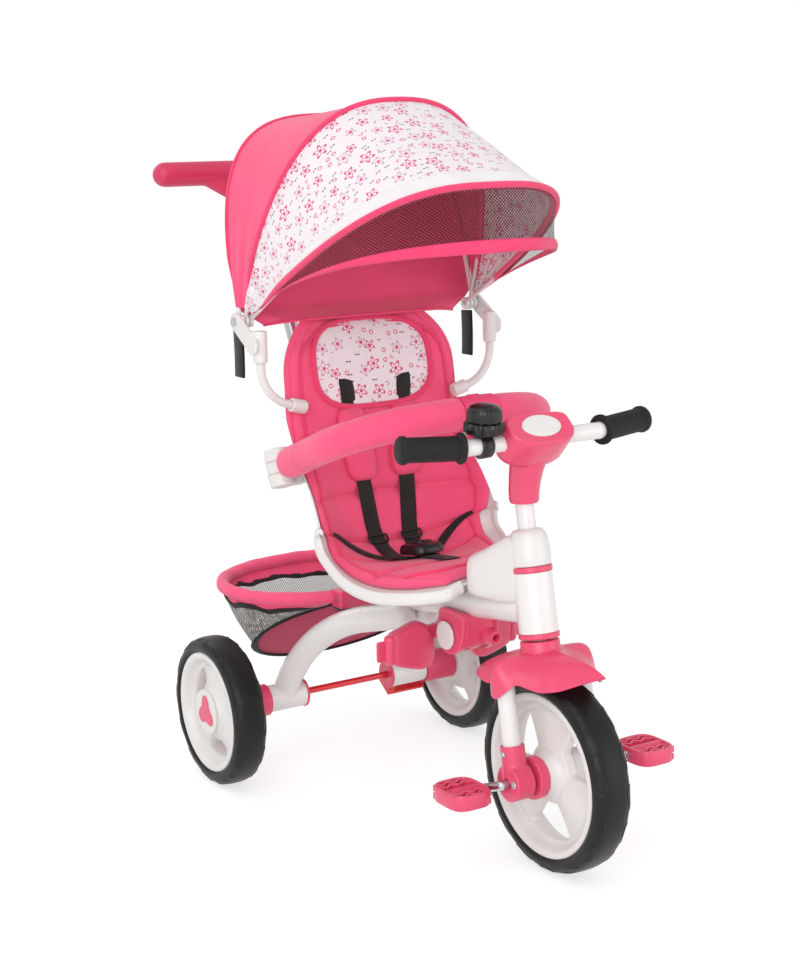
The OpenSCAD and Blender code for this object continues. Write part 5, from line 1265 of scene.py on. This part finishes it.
rail_up = in_rail((0, 0, 1)) - in_rail((0, 0, 0))
for name, side in (("right", -1), ("left", 1)):
    way, body = rail_way(side), "guard_" + name
    pin = in_rail((0, side * rail_side, 0))
    gone = run_along(way)
    swell = np.ones(len(way)) - 0.5 * np.exp(-gone / 3.0)
    for seam in (62, 178, 268):
        swell -= 0.035 * np.exp(-((gone - seam) / 2.2) ** 2)
    swell += 0.010 * np.sin(gone / 17.0) - 0.05 * np.exp(-(gone[-1] - gone) / 2.5)
    sleeve = shaped("rail_foam_" + name, sweep(in_rail(way), disc(22.3, 36), upward=rail_up, swell=swell),
                    pink_foam, body, ["guard_rail_" + name])
    cord("rail_seam_" + name, in_rail(rail_way(side, 22.0, -3.0, 34.0)), 1.1, pink_piping, body,
         sides=8, upward=rail_up)
    eye = turned([(4.3, -8.6), (18.4, -8.6), (18.9, -8), (18.9, 8), (18.4, 8.6), (4.3, 8.6)], pin, rail_up,
                 40)
    arm = sweep(in_rail([(x, side * rail_side, 0) for x in (14, 20, 26, 34)]), disc(8, 20))
    shaped("rail_eye_" + name, joined(eye, arm), white_plastic, body, sharp=45)
    knob = [(9, 9.1), (18.8, 9.1), (19.3, 9.6), (19.3, 14), (18.8, 18), (17.6, 22), (15.4, 25.4), (12, 27.6),
            (8, 28.5), (3, 28.6)]
    shaped("rail_barrel_" + name, joined(*[turned(knob, pin, end * rail_up, 48, False) for end in (-1, 1)]),
           white_plastic, "frame", sharp=50)
clip_pink = hard_finish("clip_pink", "#E23F6E", 0.36, grain=0.0014, depth=0.1, wear=0.12)
rounded("guard_clip", clip_pink, 0.7, 2)
bpy.data.objects["guard_button_moulded"].data.materials[0] = clip_pink
print("guard rail: 2 foam halves,", round(gone[-1]), "mm of foam each")

# %% [markdown]
# Canopy cloth
#
# The canopy is cloth stretched over three wire bows that fan out from one pivot on each side. Cloth between
# two bows is almost a straight line from one to the other, with a little fullness, and that is how it is
# drawn: each thread runs from a point on one bow to the matching point on the next, sagging slightly in
# between and puckering near the pivots where it is gathered. Each panel is one thin sheet.

# %% Make the canopy panels
pivot = np.array((80.0, 0.0, 694.0))
bow_half, bow_tall = (196, 189, 182, 182), (285, 312, 380, 365)
bow_angle, bow_square = (104, 69, 28.5, 15.5), (3.2, 2.5, 3.0, 2.6)


def of_bow(values, k):
    return np.interp(k, (0, 1, 2, 3), values)


def bow_point(k, turn, out):
    n, b = of_bow(bow_square, k), np.radians(of_bow(bow_angle, k))
    reach = (of_bow(bow_tall, k) + out) * squared_off(n, np.sin(turn))
    side = -(of_bow(bow_half, k) + out) * squared_off(n, np.cos(turn))
    return pivot + np.stack([reach * np.cos(b), side, reach * np.sin(b)], -1)


def bow_turn(k, reach, share):
    start = np.arcsin((reach / of_bow(bow_tall, k)) ** (of_bow(bow_square, k) / 2))
    return start + (np.pi - 2 * start) * share


def on_canopy(k, share, out, reach=20.0):
    k, share, out = np.broadcast_arrays(np.asarray(k, float), np.asarray(share, float),
                                        np.asarray(out, float))
    low = np.minimum(np.floor(k), 2)
    x = (k - low)[..., None]
    taut = ((1 - x) * bow_point(low, bow_turn(low, reach, share), out)
            + x * bow_point(low + 1, bow_turn(low + 1, reach, share), out))
    return taut + 0.2 * (bow_point(k, bow_turn(k, reach, share), out) - taut)


def spread_flat(grid):
    middle = grid[:, grid.shape[1] // 2]
    along = run_along(middle)
    steps = np.linalg.norm(np.diff(grid, axis=1), axis=2)
    across = np.concatenate([np.zeros((len(grid), 1)), np.cumsum(steps, axis=1)], 1)
    return np.stack([np.broadcast_to(along[:, None], across.shape), across], -1)


def cloth_sheet(name, grid, finish, body, node, between_bodies=None):
    rows, cols = grid.shape[:2]
    made = piece(name, grid.reshape(-1, 3), cells(rows, cols), finish, body, [node] if node else (),
                 spread_flat(grid))
    if between_bodies:
        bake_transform(made)
    return made


def panel_grid(first, last, cols=29, rows=129, sag=4.0):
    share, x = np.meshgrid(np.linspace(0, 1, rows), np.linspace(0, 1, cols), indexing="ij")
    ends = np.minimum(share, 1 - share)
    full = np.sin(np.pi * x)
    out = (4.2 - sag * full * np.sin(np.pi * share) + 0.7 * full * np.sin(9 * share + 5 * x)
           + 2.6 * full * np.sin(5 * np.pi * x + 30 * share * x) * np.exp(-ends / 0.06))
    return on_canopy(first + (last - first) * x, share, out), x


grid, x = panel_grid(0.0, 1.0)
cloth_sheet("canopy_top_cloth", grid, pink_cloth, None, "canopy_top_panel",
            ("frame", "canopy_mid"))
grid, x = panel_grid(1.0, 2.0, 37)
cloth_sheet("canopy_front_cloth", grid, print_cloth, None, "canopy_front_panel",
            ("canopy_mid", "canopy_front"))

# %% [markdown]
# Canopy back and visor
#
# The back panel closes the rear bow and is seen from inside as the pink lining. The visor is fine black net
# between the front bow and a free edge that only its binding stiffens, and it tapers to nothing at both ends.

# %% Make the back panel and the visor
rear_angle, back_tall = math.radians(bow_angle[0]), 284.5
lean = np.array((math.cos(rear_angle), 0, math.sin(rear_angle)))
behind = np.array((-lean[2], 0, lean[0]))


def on_back(v, t):
    up = np.maximum(v, 0)
    half = 195 * np.maximum(0, 1 - (0.985 * up) ** 3.2) ** (1 / 3.2) - 420 * np.maximum(0.06 - v, 0)
    tuck = 300 * np.maximum(0.06 - v, 0) * (1 - t ** 6)
    belly = 4.4 - 2 * up ** 8 + 9 * (1 - t ** 2) * np.sin(np.pi * up) - tuck
    belly = belly + 1.3 * np.sin(5 * np.pi * t) * np.exp(-(v + 0.025) / 0.2) * (1 - t ** 8)
    across = np.stack([0 * t, t * half, 0 * t], -1)
    return pivot + across + (back_tall * v)[..., None] * lean + belly[..., None] * behind


v, t = np.meshgrid(np.linspace(-0.025, 1, 45), np.linspace(-1, 1, 49), indexing="ij")
grid = on_back(v, t)
cloth_sheet("canopy_back_cloth", grid, pink_cloth, "frame", "canopy_back_panel")


def on_visor(v, share, out):
    v, share, out = np.broadcast_arrays(np.asarray(v, float), np.asarray(share, float),
                                        np.asarray(out, float))
    k = 2 + 0.01 + 0.98 * v * np.sqrt(np.sin(np.pi * np.clip(share, 0, 1)))
    return on_canopy(np.minimum(k, 2.9999), share, out, 77.0)


share, v = np.meshgrid(np.linspace(0.004, 0.996, 121), np.linspace(0, 0.97, 15), indexing="ij")
grid = on_visor(v, share, 4.4 - 2 * np.sin(np.pi * v) + 0.6 * np.sin(40 * share) * v)
cloth_sheet("canopy_visor_net", grid, visor_net, "canopy_front", "canopy_visor")

# %% [markdown]
# Canopy piping, binding and hems
#
# Every seam of the canopy has pink piping, thickest along the front bow, and the visor's free edge is bound
# with a folded tape. A pale hem runs beside the front bow. Piping is a swept circle on the bow's line. Tape
# and hem are narrow grids with a little thickness, and the hem is drawn with small waves because it is a
# drawstring channel. Towards the pivots the piping thins and draws in to its bow, so that the bows can lie
# side by side when the canopy is folded.

# %% Sew the canopy's edges
def bow_line(k, out, reach=20.0, steps=121):
    share = np.linspace(0, 1, steps)
    return bow_point(np.full(steps, float(k)), bow_turn(k, reach, share), out)


to_ends = np.minimum(np.arange(121), np.arange(120, -1, -1)) / 120


def bow_cord(name, k, out, radius, finish, body, reach):
    way = bow_line(k, out * np.minimum(1, to_ends / 0.045), reach)
    return shaped(name, sweep(way, disc(radius, 12), swell=np.minimum(1, 0.5 + to_ends * 14)), finish,
                  body)


for k, body in enumerate(("frame", "canopy_mid", "canopy_front")):
    bow_cord("bow_sleeve_" + str(k + 1), k, 0.0, 3.6, pink_cloth, body, 44.0)
bow_cord("canopy_rear_piping", 0, 5.0, 2.4, pink_piping, "frame", 20.0)
bow_cord("canopy_mid_piping", 1, 6.2, 3.6, pink_piping, "canopy_mid", 32.0)
bow_cord("canopy_front_piping", 2, 6.0, 4.4, pink_piping, "canopy_front", 32.0)
share, v = np.meshgrid(np.linspace(0.004, 0.996, 121), np.linspace(0.80, 1.0, 5), indexing="ij")
rise = 2.0 * np.sin(np.pi * (v - 0.80) / 0.20)
points, faces = two_skins(on_visor(v, share, 5.4 + rise), on_visor(v, share, 3.0 - rise))
flat = spread_flat(on_visor(v, share, 5.0)).reshape(-1, 2)
piece("visor_binding", points, faces, pink_piping, "canopy_front",
      flat=np.concatenate([flat, flat]))
share, x = np.meshgrid(np.linspace(0.03, 0.97, 181), np.linspace(0.855, 0.97, 7), indexing="ij")
ridge = np.sin(np.pi * (x - 0.855) / 0.115)
crest = 0.9 + 1.5 * ridge + 0.55 * np.sin(110 * share) * ridge
base = 4.2 - 4.0 * np.sin(np.pi * x) * np.sin(np.pi * share)
hem_top, hem_low = on_canopy(1 + x, share, base + crest), on_canopy(1 + x, share, base - 0.2)
points, faces = two_skins(hem_top, hem_low)
flat = spread_flat(hem_top).reshape(-1, 2)
hem = piece("canopy_front_hem", points, faces, hem_cloth, None,
            flat=np.concatenate([flat, flat]))
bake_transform(hem)
cord("canopy_back_hem", on_back(np.full(61, -0.025), np.linspace(-1, 1, 61)), 2.2, pink_piping,
     "frame", sides=12)
print("canopy edges: 3 pipings, a binding, 2 hems")

# %% [markdown]
# Webbing loops of the canopy
#
# Two black webbing loops hang from the rear corners to tie the folded canopy up. Each is a folded band: down
# one side, round at the bottom and up the other.

# %% Hang the webbing loops
loop_parts = []
for side in (-1, 1):
    path = [(66, side * 194.6, z) for z in np.linspace(682, 616, 12)]
    path += [(66, side * (193.4 + 1.2 * math.cos(a)), 616 - 1.6 * math.sin(a))
             for a in np.radians((30, 60, 90, 120, 150))]
    path += [(66, side * 192.2, z) for z in np.linspace(616, 682, 12)]
    bend = np.array(path)
    bend[:, 0] += 1.5 * np.sin((bend[:, 2] - 610) / 24)
    tape = [(-13, 0), (-12.4, 0.55), (12.4, 0.55), (13, 0), (12.4, -0.55), (-12.4, -0.55)]
    loop_parts.append(sweep(bend, tape, upward=np.cross(unit(np.gradient(bend, axis=0)), (1, 0, 0))))
shaped("canopy_webbing", joined(*loop_parts), black_webbing, "frame", ["canopy_straps"])
print("webbing loops: 2")

# %% [markdown]
# Basket
#
# Behind the seat hangs a net bag from a bent tube in a cloth sleeve. The sleeve is gathered on its tube, and
# its lower edge is bound in black where the net is sewn on. On the near side the slack sleeve is pushed up in
# waves. The bag is one loop shaped grid from that binding down to a sloping oval floor, let out a little so
# that it sags, and the floor is a second sheet in a redder net. A cloth simulation would sag it too, but the
# holes of a net cost nothing as a material, and the drawn sag keeps the bag clear of the wheels.

# %% Make the basket
def ring_point(angle, half, long, back, z):
    x = -back + long * squared_off(2.1, np.cos(angle))
    return np.stack([x, half * squared_off(2.1, np.sin(angle)), np.broadcast_to(z, x.shape)], -1)


def held_back(points):
    made = points.copy()
    made[..., 0] = np.minimum(made[..., 0], 14 + made[..., 1] ** 2 / 60)
    return made


rim_size, sides = (165, 129, 53), 28
rim_way = ring_point(np.radians(np.linspace(17, 343, 150)), *rim_size, 274.0)
gone = run_along(rim_way)
points, faces, flat = sweep(rim_way, disc(9.6, sides), upward=(0, 0, 1))
along, around = flat[:, 0], flat[:, 1]
creases = (0.30 * np.sin(along / 6.5 + around * 0.25) + 0.35 * np.sin(along / 14.0 - around * 0.13)) * 0.9
points = points + unit(points - np.repeat(rim_way, sides, 0)) * creases[:, None]
sleeve = piece("basket_sleeve", points, faces, pink_cloth, "frame", ["basket_rim"], flat)

bag_turns = np.radians(np.linspace(0, 360, 181)[:-1])
high = held_back(ring_point(bag_turns, *rim_size, 266.0))
low = held_back(ring_point(bag_turns, 140, 58, 20, 0.0))
low[:, 2] = 200 + 0.93 * (low[:, 0] + 20)
near = 0.5 - 0.5 * np.sin(bag_turns)
band_deep = 22 - 14 * near + 2.6 * near * np.sin(11 * bag_turns) + 0.8 * np.sin(23 * bag_turns)
total = high[:, 2] - low[:, 2]
middle = high.mean(0)


def on_bag(fall, over=0.0):
    rows = fall.reshape(len(fall), -1)
    share = np.clip(rows / total[:, None], 0, 1)
    spots = high[:, None] + share[..., None] * (low - high)[:, None]
    outward = unit((spots - middle) * (1, 1, 0))
    sag = 5.5 * np.sin(np.pi * share) + 1.4 * np.sin(np.pi * share) * np.sin(7 * bag_turns)[:, None]
    return held_back(spots + outward * (sag + over)[..., None]).reshape(fall.shape + (3,))


rows = np.linspace(0, 1, 9)
pleat = 1.1 * np.sin(27 * bag_turns)[:, None] * rows
band = on_bag(band_deep[:, None] * rows, -1.0)
band = band + unit((band - middle) * (1, 1, 0)) * pleat[..., None]
points = np.concatenate([band, band[:1]], 0)
trim = piece("basket_band", points.reshape(-1, 3), cells(len(points), len(rows)), pink_cloth,
             "frame", flat=spread_flat(points))
fall = band_deep[:, None] + (total - band_deep)[:, None] * np.linspace(0, 1, 25)
grid = on_bag(fall)
grid = np.concatenate([grid, grid[:1]], 0)
cloth_sheet("basket_bag_net", grid, grey_net, "frame", "basket_net")
scales = np.array((1.0, 0.93, 0.85, 0.75, 0.63, 0.5, 0.36, 0.2, 0.02))
centre = low.mean(0)
floor_grid = centre + scales[None, :, None] * (low - centre)[:, None]
floor_grid[..., 2] -= 5.0 * (1 - scales ** 2)
bag_floor = piece("basket_floor_net", floor_grid.reshape(-1, 3), cells(len(low), len(scales), True),
                  crimson_net, "frame", flat=floor_grid[..., :2])

# %% [markdown]
# Bindings of the basket
#
# Black tape binds the net where it meets the sleeve and where the wall meets the floor. Each is a flat loop
# that follows the sheet's own edge, slightly thick so that it catches the light.

# %% Sew the basket's bindings
def tape_loop(name, fall, wide, over):
    parts = []
    for edge, level in ((-1, 0.0), (-0.8, 1.1), (0, 1.5), (0.8, 1.1), (1, 0.0), (0.8, -1.1), (0, -1.5),
                        (-0.8, -1.1)):
        parts.append(on_bag(fall + edge * wide / 2, over + level))
    points = np.stack(parts, 1)
    run = np.arange(len(points)) * 4.5
    flat = np.stack(np.meshgrid(run, np.arange(8) * 2.0, indexing="ij"), -1)
    return piece(name, points.reshape(-1, 3), cells(len(points), 8, True, True), black_webbing,
                 "frame", flat=flat)


tape_loop("basket_top_binding", band_deep + 2.0, 8.0, 0.6)
edge = low + unit((low - centre) * (1, 1, 0.4)) * 1.2
shaped("basket_floor_binding", sweep(edge, disc(5.6, 10, 2.6), True, (0, 0, 1)), black_webbing,
       "frame")
print("bindings: 2")

# %% [markdown]
# Foot plates
#
# Two foot plates fold down from a bracket under the frame, for use before pedalling is learnt. Each is a
# plump pouch shaped moulding with a rolled outer edge and a thin flange, on an arm with an eye round the pin.
# The pouch is one outline, drawn as a few corners and rounded by averaging neighbours, then repeated in
# layers that shrink towards both faces. A bevelled box would be quicker, but it would stay a box.

# %% Make the foot plates
hinge = np.array((336.0, 0.0, 272.0))


def softened(corners, passes):
    corners = np.array(corners, float)
    steps, knots = np.linspace(0, len(corners), 97)[:-1], np.arange(len(corners) + 1)
    line = np.stack([np.interp(steps, knots, np.append(corners[:, k], corners[0, k])) for k in (0, 1)], -1)
    for _ in range(passes):
        line = (np.roll(line, 1, 0) + 2 * line + np.roll(line, -1, 0)) / 4
    return line


outline = softened([(-100, 4), (-84, 8), (-66, 14), (-55, 16.5), (-43, 11), (-33, -5), (-30, -20), (-31, -38),
                    (-38, -50), (-52, -54), (-75, -48), (-99, -40), (-101, -18)], 8)
centre = outline.mean(0)
layers = ((0.72, -46.2), (0.93, -46.0), (0.98, -44.5), (1.0, -41), (1.0, -33), (0.985, -30), (0.94, -27.8),
          (0.8, -26.2), (0.5, -25.2), (0.2, -25.0))
for name, side in (("right", 1), ("left", -1)):
    rings = []
    for scale, x in layers:
        spots = centre + scale * (outline - centre)
        rings.append(hinge + np.stack([np.full(len(spots), x), side * spots[:, 0], spots[:, 1]], -1))
    roll_way = hinge + np.array([(-34, side * -101, z) for z in (-39, -37.5, -34, -24, -14, -4, 0, 2.5, 3.5)])
    roll = sweep(roll_way, disc(8.0, 20), upward=(1, 0, 0),
                 swell=np.array([0.3, 0.75, 1, 1, 1, 1, 1, 0.75, 0.3]))
    flange_way = hinge + np.array([(-38, side * y, -19.0) for y in (-119, -118.4, -116, -110, -100)])
    flange = sweep(flange_way, soft_box(6, 2.4, 14.5), upward=(0, 0, 1),
                   swell=np.array([0.86, 0.95, 1, 1, 1]))
    box = soft_box(5, 6.5, 10)
    bar_way = hinge + np.array([(-37, side * y, -3.0) for y in (-42, -30, -20, -9.5, -8.6)])
    bar = sweep(bar_way, box, upward=(0, 0, 1), swell=np.array([1, 1, 1, 1, 0.9]))
    arm_way = hinge + np.array([(x, side * -14, -3.0) for x in (-38, -30, -20, -10)])
    arm = sweep(arm_way, [(5.7 / 6.5 * a, 0.92 * b) for a, b in box], upward=(0, 0, 1))
    eye = turned([(4.25, -5.8), (12, -5.8), (12.8, -5), (12.8, 5), (12, 5.8), (4.25, 5.8)],
                 hinge + (0, side * -14, 0), (0, 1, 0), 40)
    plate = shaped("foot_plate_" + name, joined(stacked(rings), roll, flange, bar, arm, eye), pink_plastic,
                   name + "_footrest", ["footrest_" + name], 50)
print("foot plates: 2,", len(plate.data.polygons), "faces each")

# %% [markdown]
# Footrest bracket
#
# The bracket under the frame is two cheeks with round lower ends, a rib between the two arms, and a web
# across the front with a small round boss. Each of these is an outline seen from the side, carried across in
# a few layers, the last ones a little smaller so that the edges are soft. The arms pass through the gaps
# between rib and cheeks.

# %% Make the footrest bracket
outline = softened([(-20, 36), (-24.5, 14), (-26, -2), (-22, -16), (-11, -25.5), (3, -27), (17, -24),
                    (29, -16), (37, -2), (41, 16), (42, 36), (10, 38)], 6)
centre = outline.mean(0)


def layered(layers):
    rings = []
    for scale, y in layers:
        spots = centre + scale * (outline - centre)
        rings.append(hinge + np.stack([spots[:, 0], np.full(len(spots), y), spots[:, 1]], -1))
    return stacked(rings)


cheeks = [layered([(0.9, s * 20.9), (0.98, s * 21.2), (1.0, s * 23), (1.0, s * 28), (0.985, s * 29.2),
                   (0.95, s * 29.7), (0.8, s * 29.8)]) for s in (-1, 1)]
rib = layered([(0.9, -7.0), (0.93, -6.6), (0.93, 6.6), (0.9, 7.0)])
web_way = hinge + np.array([(32.5, y, 12.0) for y in (-27, -20, -10, 0, 10, 20, 27)])
web = sweep(web_way, soft_box(5, 6, 24), upward=(0, 0, 1))
boss = turned([(5.2, -12), (5.2, 12.6), (6, 13.4), (9, 13.4), (10, 12.4), (10, 2), (12.5, -1), (12.5, -12)],
              hinge + (40, 15, 0), (1, 0, 0), 40)
bracket = shaped("footrest_block", joined(*cheeks, rib, web, boss), pink_plastic, "frame",
                 ["footrest_bracket"], 50)
print("footrest bracket:", len(bracket.data.polygons), "faces")

# %% [markdown]
# Floor and light
#
# The trike stands on a plain white floor under a broad soft lamp, as in a small studio. The floor has to look
# white and still hold a shadow, so what the camera sees of it is half an even glow and half true shading. The
# world does the same trick: it is white to look at, but lights the trike at a plain level, so colours come
# out as written.

# %% Set up the studio
def stage_white(name, share):
    made = bpy.data.materials.new(name)
    made.use_nodes = True
    tree = made.node_tree
    tree.nodes.remove(tree.nodes["Principled BSDF"])
    rays = add(tree, "LightPath").outputs
    other = sums(tree, "MAXIMUM", rays["Is Glossy Ray"], rays["Is Transmission Ray"])
    seen = sums(tree, "MAXIMUM", rays["Is Camera Ray"], other)
    chalk = add(tree, "BsdfDiffuse", {"Color": (0.9, 0.9, 0.9, 1)}).outputs[0]
    glow = add(tree, "Emission", {"Color": (1, 1, 1, 1), "Strength": 1.3}).outputs[0]
    mixed = add(tree, "MixShader", {0: sums(tree, "MULTIPLY", seen, share), 1: chalk, 2: glow}).outputs[0]
    tree.links.new(mixed, tree.nodes["Material Output"].inputs[0])
    return made


floor_mesh = bpy.data.meshes.new("studio_floor")
floor_mesh.from_pydata([(-9, -9, 0), (9, -9, 0), (9, 9, 0), (-9, 9, 0)], [], [[0, 1, 2, 3]])
floor_mesh.materials.append(stage_white("studio_white", 0.5))
studio_floor = bpy.data.objects.new("studio_floor", floor_mesh)
bpy.context.scene.collection.objects.link(studio_floor)
world = bpy.data.worlds.new("studio")
bpy.context.scene.world = world
world.use_nodes = True
sky = world.node_tree
rays = add(sky, "LightPath").outputs
seen = sums(sky, "MAXIMUM", rays["Is Camera Ray"], rays["Is Transmission Ray"])
tone = sky.nodes["Background"]
tone.inputs["Color"].default_value = (1, 1, 1, 1)
sky.links.new(spread(sky, seen, 0, 1, 0.79, 1.0), tone.inputs["Strength"])


def lamp(name, where, aim_at, size, watts):
    made = bpy.data.objects.new(name, bpy.data.lights.new(name, "AREA"))
    bpy.context.scene.collection.objects.link(made)
    made.data.size, made.data.energy = size, watts
    made.location = where
    made.rotation_euler = (Vector(aim_at) - Vector(where)).to_track_quat("-Z", "Y").to_euler()
    return made


lamp("key", (2.3, -2.1, 1.4), (0, 0, 0.5), 2.2, 42)
lamp("top", (0.9, -1.6, 3.0), (0, 0, 0.4), 1.8, 14)
lamp("fill", (2.6, 1.6, 0.8), (0, 0, 0.7), 2.0, 15)
lamp("rim", (-2.4, -0.6, 2.2), (0, 0, 0.6), 1.6, 10)
bpy.context.scene.view_settings.view_transform = "Standard"
print("studio: 1 floor, 4 lamps")
